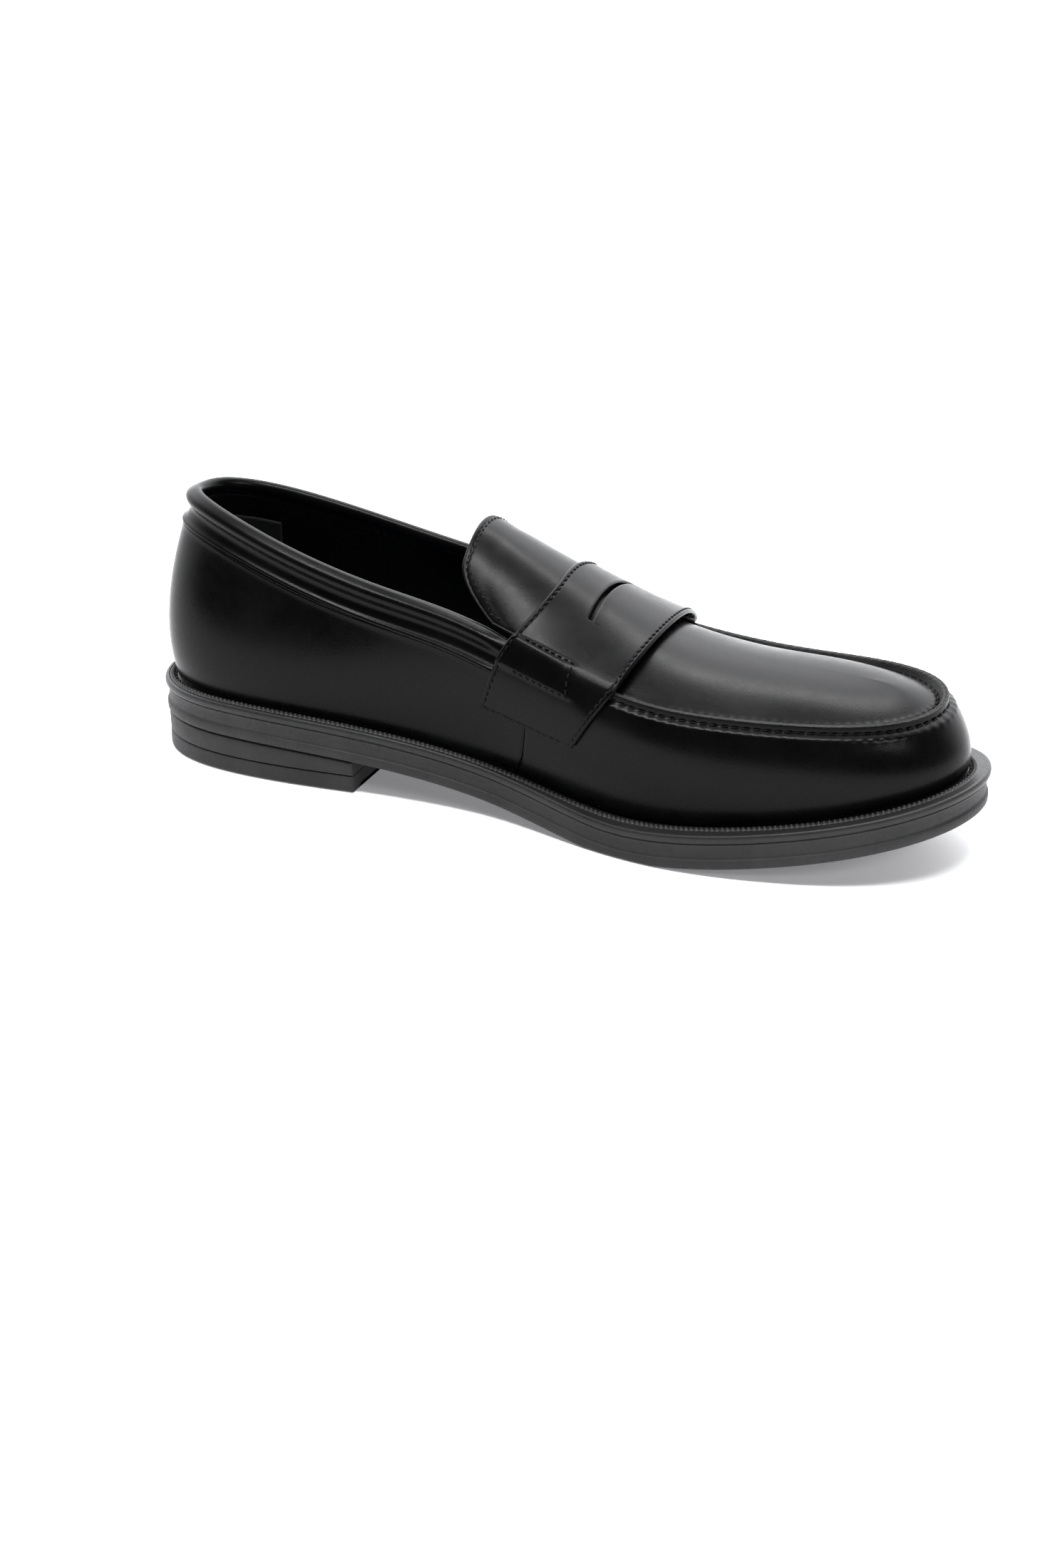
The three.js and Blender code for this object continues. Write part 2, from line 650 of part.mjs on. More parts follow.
add(bottomGroup, "welt", welt(), rubber);
add(bottomGroup, "outsole", cut(outsole, nailHoles), rubber);
add(bottomGroup, "insole_board", cut(insole, nailHoles), board);
add(bottomGroup, "sock_liner", sock, navySock);
add(bottomGroup, "heel_pad", between(heelPad, WELL_BEHIND, PAD.front), foam);
add(bottomGroup, "shank", shank, steel);
add(bottomGroup, "bottom_filler", between(filler, SHANK.to + 4, WELL_AHEAD), cork);
const heelBody = between(heelBlock, WELL_BEHIND, HEEL_BREAST);
add(heelGroup, "heel_block", cut(heelBody, nailHoles), rubber);
add(heelGroup, "heel_top_piece", between(topPiece, WELL_BEHIND, HEEL_BREAST), rubber);
nailPlaces.forEach((place, i) => add(heelGroup, `heel_nail_${i + 1}`, nail(place), steel));

// The origin goes to the middle of the bottom of the shoe.
const box = new THREE.Box3().setFromObject(shoe);
const middle = box.getCenter(vec(0, 0));
shoe.position.set(-middle.x, -middle.y, -box.min.z);

export default shoe;
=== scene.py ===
"""A black penny loafer, the left shoe of a pair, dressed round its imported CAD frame.

Shapes are worked out in millimetres on the same last as the CAD pieces: x from the back of the last
to the toe, y to the outer side of the foot, z up. to_frame() then moves them to the row frame.
"""

import math

import bmesh
import bpy
import numpy as np
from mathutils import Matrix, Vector

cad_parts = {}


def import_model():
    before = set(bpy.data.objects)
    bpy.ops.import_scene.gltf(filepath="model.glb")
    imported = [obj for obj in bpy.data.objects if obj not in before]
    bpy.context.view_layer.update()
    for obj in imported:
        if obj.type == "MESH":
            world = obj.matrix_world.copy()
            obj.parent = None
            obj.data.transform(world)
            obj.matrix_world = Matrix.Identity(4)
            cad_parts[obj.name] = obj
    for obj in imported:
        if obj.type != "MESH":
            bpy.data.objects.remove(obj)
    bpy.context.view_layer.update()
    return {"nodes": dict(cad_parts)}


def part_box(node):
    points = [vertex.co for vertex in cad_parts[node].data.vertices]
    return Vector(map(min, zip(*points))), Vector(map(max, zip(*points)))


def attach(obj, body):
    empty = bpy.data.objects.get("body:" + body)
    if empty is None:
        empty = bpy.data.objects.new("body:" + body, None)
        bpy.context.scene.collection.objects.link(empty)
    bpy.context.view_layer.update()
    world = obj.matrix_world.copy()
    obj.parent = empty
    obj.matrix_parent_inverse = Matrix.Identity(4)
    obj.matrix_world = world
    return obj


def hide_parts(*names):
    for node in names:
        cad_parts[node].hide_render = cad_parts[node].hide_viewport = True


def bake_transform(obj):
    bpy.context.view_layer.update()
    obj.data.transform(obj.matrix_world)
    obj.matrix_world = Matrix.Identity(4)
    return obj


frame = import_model()

MM = 0.001  # metres in a millimetre

# ---- the last

# Each row is a station from the heel to the toe. It gives the feather line, where the upper meets
# the sole, and the rim, which is the topline and then the apron seam:
# [feather x, lateral y, medial y, rim x, lateral y, medial y, lateral z, medial z]
STATIONS = np.array([
    [6, 0, 0, 12, 0.5, 0.5, 92, 92],
    [8, 20, -19.5, 14, 12.5, -11, 91.5, 93.5],
    [26, 33, -32.5, 31, 24, -21, 87.5, 90.5],
    [62, 35.5, -34.5, 60.5, 31, -27, 79.5, 81.5],
    [100, 35, -30.5, 92.5, 33.5, -28, 72, 73.5],
    [138, 39, -30.5, 124.5, 32, -29, 67, 69.5],
    [172, 47.5, -39, 157.5, 35, -36.5, 57.5, 61],
    [205, 49.5, -45.5, 193.5, 38.5, -44.5, 49.5, 52.5],
    [238, 40.5, -42.5, 226, 35.5, -40.5, 49, 51.5],
    [265.5, 31, -36, 256, 29.5, -34.5, 52.2, 51.5],
    [287, 17.5, -22.5, 279, 18.5, -21, 53.8, 51.2],
    [296, -2, -2, 288, -1.5, -1.5, 53, 53],
])
LOW_BULGE = np.array([8, 8, 6, 6, 6, 6, 5, 3.5, 3, 3, 3, 3])
HIGH_BULGE = np.array([9, 7, 4, 2.5, 3, 7, 8, 8, 7, 6, 5.5, 5.5])
TOE = len(STATIONS) - 1
RING = 2 * TOE

CROWN = 31
CROWN_FALL = 0.8
CROWN_ROUND = 2
CROWN_START = 100
CROWN_LENGTH = 180
LEATHER = 1.4
HEEL_HEIGHT = 15.3
SOLE = 12.7
WELT = 3.2
TOE_SPRING = 18.6
BALL_FLAT = 1.6
WELT_REAR = 4.9
WELT_FRONT = 7.6
HEEL_BREAST = 87
TOP_PIECE = 6
GAP = 0.3
LASTING_MARGIN = 11
HEEL_LIFT = {"end": 182, "length": 145, "round": 0.08}  # x where the heel's lift has gone
TOE_LIFT = {"start": 187, "length": 109, "round": 0.12, "power": 1.45}  # x where the toe lifts
RIM_LEVEL = 0.97  # level of the wall where the direction near the rim is taken

# The steel shank starts at this x and is centred on y = 0, which says where the frame put the last.
SHANK_FROM = 52
shank_low, shank_high = (np.array(corner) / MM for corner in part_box("shank"))
SHIFT = np.array([shank_low[0] - SHANK_FROM, (shank_low[1] + shank_high[1]) / 2, 0])


def to_frame(points):
    return (points + SHIFT) * MM


def smooth(a, b, v):
    s = np.clip((v - a) / (b - a), 0, 1)
    return s * s * (3 - 2 * s)


def lerp(a, b, k):
    return a + (b - a) * k


def unit(v):
    return v / np.maximum(np.linalg.norm(v, axis=-1, keepdims=True), 1e-9)


def hump(v, width):
    """A soft bump of height 1 at v = 0."""
    return np.exp(-((v / width) ** 2))


def sole_rise(x):
    """How far the sole lifts off the ground: heel, waist, ball and toe spring."""
    def ease(v, radius):
        return (v + np.hypot(v, radius)) / 2

    back = np.clip(ease((HEEL_LIFT["end"] - x) / HEEL_LIFT["length"], HEEL_LIFT["round"]), 0, 1)
    front = ease((x - TOE_LIFT["start"]) / TOE_LIFT["length"], TOE_LIFT["round"])
    heel = HEEL_HEIGHT * np.sin(back * np.pi / 2)
    return heel + TOE_SPRING * front ** TOE_LIFT["power"] - BALL_FLAT


def sole_top(x):
    return sole_rise(x) + SOLE


def sole_foot(x):
    return np.maximum(0, sole_rise(x))


def welt_width(x):
    return WELT_REAR + (WELT_FRONT - WELT_REAR) * smooth(130, 200, x)


def around(lateral, medial):
    """A ring of control values: the lateral side from heel to toe, then the medial side back."""
    return np.concatenate([lateral, medial[1:TOE][::-1]])


def plan_normals(points):
    d = np.roll(points, 1, axis=0) - np.roll(points, -1, axis=0)
    return unit(np.stack([d[:, 1], -d[:, 0], 0 * d[:, 0]], axis=1))


def column(*values):
    return np.stack(np.broadcast_arrays(*values), axis=-1).astype(float)


feather_x = STATIONS[:, 0]
FEATHER = around(
    column(feather_x, STATIONS[:, 1], sole_top(feather_x)),
    column(feather_x, STATIONS[:, 2], sole_top(feather_x)),
)
RIM = around(STATIONS[:, [3, 4, 6]], STATIONS[:, [3, 5, 7]])
rise_of_wall = (RIM[:, 2] - FEATHER[:, 2])[:, None]
UPWARD = np.array([0.0, 0.0, 1.0])
LOW = (
    FEATHER
    + plan_normals(FEATHER) * around(LOW_BULGE, LOW_BULGE)[:, None]
    + UPWARD * 0.35 * rise_of_wall
)
HIGH = (
    RIM
    + plan_normals(RIM) * around(HIGH_BULGE, HIGH_BULGE)[:, None]
    - UPWARD * 0.3 * rise_of_wall
)


def spline(points, u):
    """Closed uniform cubic B-spline over a ring of points, at stations u."""
    u = np.asarray(u, float)
    i = np.floor(u).astype(int)
    t = u - i
    weights = (
        (1 - t) ** 3 / 6,
        (3 * t**3 - 6 * t**2 + 4) / 6,
        (-3 * t**3 + 3 * t**2 + 3 * t + 1) / 6,
        t**3 / 6,
    )
    return sum(w[..., None] * points[(i + k - 1) % len(points)] for k, w in enumerate(weights))


def wall(u, v):
    """The side wall: station u round the shoe, v from 0 at the feather line to 1 at the rim."""
    a, b, c, d = (spline(ring, u) for ring in (FEATHER, LOW, HIGH, RIM))
    v = np.asarray(v, float)[..., None]
    return a * (1 - v) ** 3 + 3 * b * (1 - v) ** 2 * v + 3 * c * (1 - v) * v**2 + d * v**3


def facing(surface, a, b, step=0.01):
    """The direction off a surface, a quarter turn from both of its curves."""
    along_a = surface(a + step, b) - surface(a - step, b)
    along_b = surface(a, b + step) - surface(a, b - step)
    return unit(np.cross(along_a, along_b))


def wall_out(u, v):
    return -facing(wall, u, np.clip(v, 0.01, 0.99))


def level_out(u, v=0.0):
    """The horizontal direction off the wall."""
    u = np.asarray(u, float)
    out = wall_out(u, np.full(u.shape, float(v)))
    out[..., 2] = 0
    return unit(out)


def crown(x):
    return CROWN * (1 - np.clip((x - CROWN_START) / CROWN_LENGTH, 0, 1) ** CROWN_FALL)


def section(t, q):
    """The whole section at station t: q runs from the medial feather line, -2, over the rims, -1 and
    1, to the lateral feather line, 2."""
    t, q = np.broadcast_arrays(np.asarray(t, float), np.asarray(q, float))
    side = np.abs(q)
    on_wall = wall(np.where(q < 0, RING - t, t), np.clip(2 - side, 0, 1))
    inside = np.clip(q, -1, 1)[..., None]
    top = lerp(spline(RIM, RING - t), spline(RIM, t), (inside + 1) / 2)
    top[..., 2] += crown(top[..., 0]) * (1 - np.abs(inside[..., 0]) ** CROWN_ROUND)
    return np.where((side >= 1)[..., None], on_wall, top)


def soft_section(t, q):
    """The section with its ridge at the rim rounded off, as leather lies over it."""
    spread = 0.045
    weights = {-2: 0.06, -1: 0.24, 0: 0.4, 1: 0.24, 2: 0.06}
    return sum(w * section(t, q + k * spread) for k, w in weights.items())


def over(t, q, distance):
    """A point at a distance off the softened section."""
    return soft_section(t, q) + facing(soft_section, t, q) * np.asarray(distance)[..., None]


# ---- lengths along curves


def lengths(points, axis=0):
    """Distance along a curve, or along one axis of a grid of points."""
    steps = np.linalg.norm(np.diff(points, axis=axis), axis=-1)
    start = np.zeros_like(np.take(steps, [0], axis=axis))
    return np.concatenate([start, np.cumsum(steps, axis=axis)], axis=axis)


def resample(values, at, where):
    return np.stack([np.interp(where, at, values[:, k]) for k in range(values.shape[1])], axis=1)


def steps_between(a, b, spacing):
    """Evenly spaced numbers from a to b, about one spacing apart."""
    return np.linspace(a, b, max(2, int(round(abs(b - a) / spacing)) + 1))


RIM_TABLE = np.linspace(-RING, 2 * RING, 6601)
RIM_LENGTH = lengths(spline(RIM, RIM_TABLE))


def rim_arc(u):
    return np.interp(u, RIM_TABLE, RIM_LENGTH)


def rim_station(arc):
    return np.interp(arc, RIM_LENGTH, RIM_TABLE)


# ---- meshes


def grid_faces(n, m, wrap_n=False, wrap_m=False):
    rows, columns = np.arange(n if wrap_n else n - 1), np.arange(m if wrap_m else m - 1)
    i, j = (a.ravel() for a in np.meshgrid(rows, columns, indexing="ij"))
    i2, j2 = (i + 1) % n, (j + 1) % m
    return np.stack([i * m + j, i2 * m + j, i2 * m + j2, i * m + j2], axis=1)


def strip_cap(first, m):
    """Closes a loop of m points, which starts at point first, with strips from side to side."""
    j = np.arange(m // 2 - 1)
    return first + np.stack([j, j + 1, m - 2 - j, m - 1 - j], axis=1)


def skin(loops, ring=False):
    """A closed skin over closed loops of points (n, m, 3), as (points, faces)."""
    n, m, _ = loops.shape
    faces = [grid_faces(n, m, wrap_n=ring, wrap_m=True)]
    if not ring:
        faces += [strip_cap(0, m), strip_cap((n - 1) * m, m)[:, ::-1]]
    return loops.reshape(-1, 3), np.concatenate(faces)


def sheet_loops(outer, inner):
    """Loops that run out over one face of a leather piece and back under the other."""
    return np.concatenate([outer, inner[:, ::-1]], axis=1)


def surface_normals(grid):
    return unit(np.cross(np.gradient(grid, axis=0), np.gradient(grid, axis=1)))


def joined(parts):
    """Several (points, faces) as one."""
    points, faces, start = [], [], 0
    for p, f in parts:
        points.append(p)
        faces.append(f + start)
        start += len(p)
    return np.concatenate(points), np.concatenate(faces)


def volume(points, faces):
    a = points[faces[:, 0]]
    total = 0.0
    for k in range(1, faces.shape[1] - 1):
        total += np.einsum("ij,ij->", a, np.cross(points[faces[:, k]], points[faces[:, k + 1]]))
    return total


def piece(name, made, material, body="shoe", replaces=(), weld=0.0, second=None):
    """Makes one piece from (points in mm, faces). second = (material, face mask) finishes part of it."""
    points, faces = made
    middle = points.mean(axis=0)
    if volume(points - middle, faces) < 0:
        faces = faces[:, ::-1]
    mesh = bpy.data.meshes.new(name)
    mesh.from_pydata(to_frame(points).tolist(), [], faces.tolist())
    mesh.materials.append(material)
    if second:
        mesh.materials.append(second[0])
        mesh.polygons.foreach_set("material_index", second[1].astype(np.int32))
    if weld:
        bm = bmesh.new()
        bm.from_mesh(mesh)
        bmesh.ops.remove_doubles(bm, verts=bm.verts, dist=weld * MM)
        bmesh.ops.dissolve_degenerate(bm, edges=bm.edges, dist=1e-8)
        bm.to_mesh(mesh)
        bm.free()
    mesh.polygons.foreach_set("use_smooth", np.ones(len(mesh.polygons), bool))
    mesh.update()
    obj = bpy.data.objects.new(name, mesh)
    bpy.context.scene.collection.objects.link(obj)
    if body:
        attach(obj, body)
    if replaces:
        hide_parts(*replaces)
    return obj


# ---- thread

THREAD_SIDES = 8
THREAD_STEPS = 9
THREAD_DIVE = 2.6  # how far its ends drop, in radii


def sew(name, line, normals, pitch, length=1.9, radius=0.3, lift=0.06, slant=0.0, start=0.5,
        uneven=0.03, body="shoe"):
    """A row of stitches along a line on a surface. Each is a short arched length of thread whose ends
    dive into the leather. slant turns each one off the line, in radians. uneven is how far each one is
    off its place, as a share of the pitch."""
    at = lengths(line)
    number = np.arange(int((at[-1] - start * pitch) / pitch))
    centres = (start + number + uneven * np.sin(2.4 * number + 1)) * pitch
    slants = slant + uneven * np.sin(5.1 * number)
    k = np.linspace(-1, 1, THREAD_STEPS)
    turn = np.linspace(0, 2 * np.pi, THREAD_SIDES, endpoint=False)
    arch = radius * (1 - THREAD_DIVE * np.abs(k) ** 5) + lift * (1 - k**2)
    girth = radius * np.sqrt(np.clip(1 - np.abs(k) ** 7, 0.05, 1))
    parts = []
    for centre, turned in zip(centres, slants):
        span = centre + k * length / 2
        here = resample(line, at, span)
        up = unit(resample(normals, at, span))
        side = unit(np.cross(up, unit(np.gradient(here, axis=0))))
        middle = here + up * arch[:, None] + side * (k * length / 2 * math.tan(turned))[:, None]
        ring = np.cos(turn)[None, :, None] * side[:, None] + np.sin(turn)[None, :, None] * up[:, None]
        parts.append(skin(middle[:, None] + ring * girth[:, None, None]))
    return piece(name, joined(parts), THREAD, body=body)


def pucker(offset, arc, pitch, depth, width):
    """How far leather is drawn in by a row of stitches: a groove, deepest where thread goes through."""
    beat = 0.62 + 0.38 * np.cos(2 * np.pi * (arc / pitch))
    return -depth * hump(offset, width) * beat


# ---- materials


def plug(tree, socket, value):
    """Sets one input to a number, a colour or another node's output."""
    if isinstance(value, bpy.types.NodeSocket):
        tree.links.new(value, socket)
    else:
        socket.default_value = value


def wire(tree, node, **inputs):
    for key, value in inputs.items():
        plug(tree, node.inputs[key.replace("_", " ")], value)
    return node


def add(tree, kind, **inputs):
    return wire(tree, tree.nodes.new(f"ShaderNode{kind}"), **inputs)


def new_material(name):
    """A material, its node tree and its coordinates."""
    material = bpy.data.materials.new(name)
    material.use_nodes = True
    tree = material.node_tree
    return material, tree, add(tree, "TexCoord").outputs["Object"]


def finish(material, **inputs):
    wire(material.node_tree, material.node_tree.nodes["Principled BSDF"], **inputs)
    return material


def noise(tree, coords, scale, detail=4.0, roughness=0.55, stretch=None):
    if stretch:
        coords = add(tree, "Mapping", Vector=coords, Scale=stretch).outputs["Vector"]
    made = add(tree, "TexNoise", Vector=coords, Scale=scale, Detail=detail, Roughness=roughness)
    return made.outputs["Fac"]


def ranged(tree, value, low, high, start=0.3, end=0.7):
    made = add(tree, "MapRange", Value=value, From_Min=start, From_Max=end, To_Min=low, To_Max=high)
    return made.outputs["Result"]


def combined(tree, operation, a, b):
    node = add(tree, "Math")
    node.operation = operation
    plug(tree, node.inputs[0], a)
    plug(tree, node.inputs[1], b)
    return node.outputs[0]


def colour_mix(tree, factor, a, b):
    node = add(tree, "Mix")
    node.data_type = "RGBA"
    return wire(tree, node, Factor=factor, A=(*a, 1), B=(*b, 1)).outputs["Result"]


def tones(tree, value, dark, light):
    return colour_mix(tree, ranged(tree, value, 0, 1), dark, light)


def bumped(tree, height, distance):
    return add(tree, "Bump", Height=height, Strength=1.0, Distance=distance * MM).outputs["Normal"]


def leather(name, dark, light, rough, grain=0.05, coat=0.03):
    """Polished leather: fine pores, a cloudy finish and a thin coat of wax."""
    material, tree, coords = new_material(name)
    cloud = noise(tree, coords, 45, detail=5)
    patch = noise(tree, coords, 260, detail=3)
    fine = noise(tree, coords, 2600, detail=2)
    pores = add(tree, "TexVoronoi", Vector=coords, Scale=1500, Randomness=1).outputs["Distance"]
    clouded = ranged(tree, cloud, rough - MOTTLE, rough + MOTTLE)
    flecked = ranged(tree, patch, -MOTTLE / 2, MOTTLE / 2)
    height = combined(tree, "ADD", pores, combined(tree, "MULTIPLY", fine, 0.6))
    height = combined(tree, "ADD", height, combined(tree, "MULTIPLY", patch, 0.7))
    return finish(
        material, Base_Color=tones(tree, cloud, dark, light),
        Roughness=combined(tree, "ADD", clouded, flecked), Normal=bumped(tree, height, grain),
        Coat_Weight=coat, Coat_Roughness=0.2, Specular_IOR_Level=0.08)


def rubber(name, dark, light, rough, grain=0.08):
    """Moulded rubber with a fine matt texture."""
    material, tree, coords = new_material(name)
    cloud = noise(tree, coords, 60)
    speck = noise(tree, coords, 900, detail=6, roughness=0.7)
    return finish(
        material, Base_Color=tones(tree, cloud, dark, light),
        Roughness=ranged(tree, speck, rough - 0.1, rough + 0.1), Normal=bumped(tree, speck, grain),
        Specular_IOR_Level=0.3)


def fibrous(name, dark, light, scale=700, stretch=(1, 1, 1), grain=0.15, sheen=0.0):
    """Board, cork, foam and suede: two tones in fibres or crumbs."""
    material, tree, coords = new_material(name)
    fibre = noise(tree, coords, scale, detail=8, roughness=0.7, stretch=stretch)
    return finish(
        material, Base_Color=tones(tree, fibre, dark, light), Roughness=0.9, Sheen_Weight=sheen,
        Normal=bumped(tree, fibre, grain))


def brushed_steel(name):
    material, tree, coords = new_material(name)
    lines = noise(tree, coords, 900, detail=6, stretch=(0.05, 1, 1))
    return finish(
        material, Base_Color=tones(tree, lines, (0.36, 0.37, 0.39), (0.55, 0.56, 0.58)),
        Roughness=ranged(tree, lines, 0.25, 0.45), Metallic=1, Normal=bumped(tree, lines, 0.01))


MOTTLE = 0.05  # how far the leather's roughness wanders
BOX_CALF = leather("box_calf", (0.0012, 0.0012, 0.0014), (0.0026, 0.0026, 0.0028), 0.28, grain=0.014)
TURNED_EDGE = leather("cut_edge", (0.008, 0.008, 0.008), (0.028, 0.028, 0.028), 0.5, grain=0.1)
LINING_LEATHER = leather("lining_calf", (0.0018, 0.0018, 0.002), (0.004, 0.004, 0.0045), 0.6, coat=0)
SOCK_LEATHER = leather("sock_calf", (0.006, 0.016, 0.036), (0.01, 0.024, 0.05), 0.5, coat=0.1)
THREAD = leather("waxed_thread", (0.002, 0.002, 0.0025), (0.008, 0.008, 0.009), 0.42, grain=0.1)
WELT_RUBBER = rubber("welt_rubber", (0.011, 0.011, 0.0115), (0.018, 0.018, 0.0185), 0.45, grain=0.04)
SOLE_RUBBER = rubber("sole_rubber", (0.018, 0.018, 0.0185), (0.028, 0.028, 0.0285), 0.6)
SUEDE = fibrous("suede_grip", (0.002, 0.002, 0.0022), (0.005, 0.005, 0.0055), sheen=0.05)
BOARD = fibrous("fibre_board", (0.16, 0.1, 0.055), (0.3, 0.2, 0.12), stretch=(1, 4, 4))
CORK = fibrous("cork_filler", (0.12, 0.06, 0.025), (0.4, 0.24, 0.12), scale=420, grain=0.3)
FOAM = fibrous("pad_foam", (0.02, 0.021, 0.024), (0.05, 0.052, 0.058), scale=1500)
STEEL = brushed_steel("shank_steel")


# ---- the wall of the upper

SEAM_FOOT = 5.28  # station of the side seam at the feather line
SEAM_LEAN = 0.8  # stations that it leans forward up to the rim
LIP = 2.3  # height of the raised seam above its stitches
LIP_HALF = 1.0  # each of the two leathers that stand up in it
LIP_LEAN = 0.14  # how far the lip leans out, for each mm down
LIP_ROWS = np.array([  # rows of points down the wall, in mm below the rim
    0.3, 0.6, 0.95, 1.3, 1.6, 1.85, 2.05, 2.2, LIP, 2.4, 2.55, 2.8, 3.15, 3.6, 4.2, 4.9, 5.7, 6.7, 8,
    9.4, 11,
])
END_STEPS = np.array([0, 0.15, 0.35, 0.6, 0.9, 1.3, 1.8])  # fine columns at the end of a piece, in mm
SEAM_CLEAR = 0.004  # stations left free at each end of a piece of the wall
SEAM_PITCH = 3.5
STRAP_COVER = (6.25, 6.55)  # stations over which the seam flattens out under the strap
SEWN_FROM = STRAP_COVER[0] + 0.12  # station, under the strap, where the seam's stitching starts


def seam_station(v):
    return SEAM_FOOT + SEAM_LEAN * np.maximum(0, v)


def wall_levels(u_of, columns, distances, shares):
    """Levels v down each column: at distances below the rim in mm, then at shares of what is left."""
    fine = np.linspace(1, 0, 121)
    levels = np.empty((len(columns), len(distances) + len(shares)))
    for i, a in enumerate(columns):
        depth = lengths(wall(u_of(a, fine), fine))
        rest = distances[-1] + (depth[-1] - distances[-1]) * np.asarray(shares)
        levels[i] = np.interp(np.concatenate([distances, rest]), depth, fine)
    return levels


def undulate(points, size, amount):
    """Slow unevenness of soft leather, in mm."""
    x, y, z = np.moveaxis(points / size, -1, 0)
    waves = np.sin(2.1 * x + 1.3 * y + 0.4) + np.sin(1.7 * z - 1.1 * x + 2.0) + np.sin(2.9 * y + 2.3 * z)
    return amount * waves / 3


def ragged(arc):
    """Unevenness of a turned edge, in mm."""
    return 0.07 * np.sin(arc * 1.9) + 0.05 * np.sin(arc * 4.3 + 1)


def is_sewn(u):
    return (u > SEWN_FROM) & (u < RING - SEWN_FROM)


def lasted(u, outer_wall, inner_wall):
    """Both faces of the wall's leather with what is turned under the insole, from its inner edge up."""
    feather, out = spline(FEATHER, u), level_out(u)
    faces = []
    for face, distance in ((outer_wall, 0.0), (inner_wall, -LEATHER)):
        rows = []
        for back in (*(LASTING_MARGIN * np.array([1, 0.7, 0.4, 0.15])), 0.6):
            p = feather - out * back
            p[..., 2] = sole_top(p[..., 0]) - distance
            rows.append(p)
        faces.append(np.concatenate([np.stack(rows, axis=1), face[:, ::-1]], axis=1))
    return faces


WALL_SHARES = np.linspace(0, 1, 27)[1:] ** 0.9


def seam_grooves(grid, depth=0.25, width=0.55):
    """How far each point sinks into the seams at the first and last columns."""
    along = lengths(grid, axis=0)
    return -depth * (hump(along, width) + hump(along[-1:] - along, width))


def vamp():
    half = np.concatenate([END_STEPS, steps_between(2.4, 158, 0.5)])
    share = half / (2 * half[-1])
    columns = np.concatenate([share, 1 - share[-2::-1]])

    def u_of(a, v):
        start = seam_station(v) + SEAM_CLEAR
        return start + (RING - 2 * start) * a

    v = wall_levels(u_of, columns, LIP_ROWS, WALL_SHARES)
    u = u_of(columns[:, None], v)
    natural, normals = wall(u, v), wall_out(u, v)
    below, count = lengths(natural, axis=1), len(LIP_ROWS)
    depth = LIP_ROWS[-1] + below - below[:, count - 1:count]
    depth[:, :count] = LIP_ROWS
    u_rim = u_of(columns, 1)
    rim, out, arc = spline(RIM, u_rim), level_out(u_rim, RIM_LEVEL), rim_arc(u_rim)
    uncovered = smooth(*STRAP_COVER, np.minimum(u_rim, RING - u_rim))[:, None]

    # The lip stands up nearly straight from its stitches; below them the wall swells out again.
    lip_line = rim[:, None] + out[:, None] * LIP_LEAN * depth[..., None] - UPWARD * depth[..., None]
    onto_wall = smooth(1.9, 5.4, depth)
    shaped = lerp(lip_line, natural, (1 - uncovered * (1 - onto_wall))[..., None])
    at_toe = smooth(215, 265, rim[:, 0])[:, None]
    beat = (0.85 - 0.15 * np.cos(2 * np.pi * arc / SEAM_PITCH))[:, None]
    swell = (0.34 + 0.14 * at_toe) * hump(depth - 4.1, 1.1) * beat
    drawn = pucker(depth - LIP, arc[:, None], SEAM_PITCH, 0.55, 0.45)
    offset = (swell + drawn) * uncovered + undulate(natural, 24, 0.16)
    offset += seam_grooves(shaped)
    outer_wall = shaped + normals * offset[..., None]

    # The top of the lip, from its outer corner to where the apron's edge lies against it.
    top = [(0.05, -0.13), (0.2, -0.02), (0.5, 0.03), (0.8, -0.01), (LIP_HALF, -0.12)]
    top_rows = [
        rim - out * inset + UPWARD * (rise + ragged(arc) * min(1, inset * 2))[:, None]
        for inset, rise in top
    ]
    inner_rows = [rim - out * LIP_HALF - UPWARD * drop for drop in (1.1, 0.9, 0.7, 0.5, 0.3)]
    straight = rim[:, None] - out[:, None] * LIP_HALF - UPWARD * depth[..., None]
    tucked = (1 - smooth(2.4, 4.6, depth))[..., None]
    inner_wall = lerp(outer_wall - surface_normals(outer_wall) * LEATHER, straight, tucked)

    outer, inner = lasted(u_of(columns, 0), outer_wall, inner_wall)
    first_top = outer.shape[1] - 1
    outer = np.concatenate([outer, np.stack(top_rows, axis=1)], axis=1)
    inner = np.concatenate([inner, np.stack(inner_rows, axis=1)], axis=1)
    loops = sheet_loops(outer, inner)
    points, faces = skin(loops)
    row = faces[:, 0] % loops.shape[1]
    edge = (row >= first_top) & (row < first_top + len(top))
    piece("vamp_leather", (points, faces), BOX_CALF,
          replaces=["vamp"], second=(TURNED_EDGE, edge))

    # The stitches lie in the crease below the lip.
    crease = np.argmin(np.abs(LIP_ROWS - LIP)) + 1
    shown = is_sewn(u_rim)
    lean = unit(normals[shown, crease] * 0.8 + out[shown] * 0.5)
    sew("apron_seam_thread_outer", outer_wall[shown, crease], lean, SEAM_PITCH, 2.4, 0.25, lift=-0.06,
        slant=0.16, uneven=0.12)


vamp()


# ---- the apron

APRON_REAR = 6.2
APRON_INSET = 3.0  # from the rim to where the apron's top begins
APRON_DROP = 2.6  # how far that lies below the rim
APRON_DOME = 1.2
APRON_SPINE_TOE = 262
LIP_FOOT = 2.42  # how far below the rim the far side of the lip ends
APRON_GROOVE = 3.45  # from the rim to the stitches on the apron's side


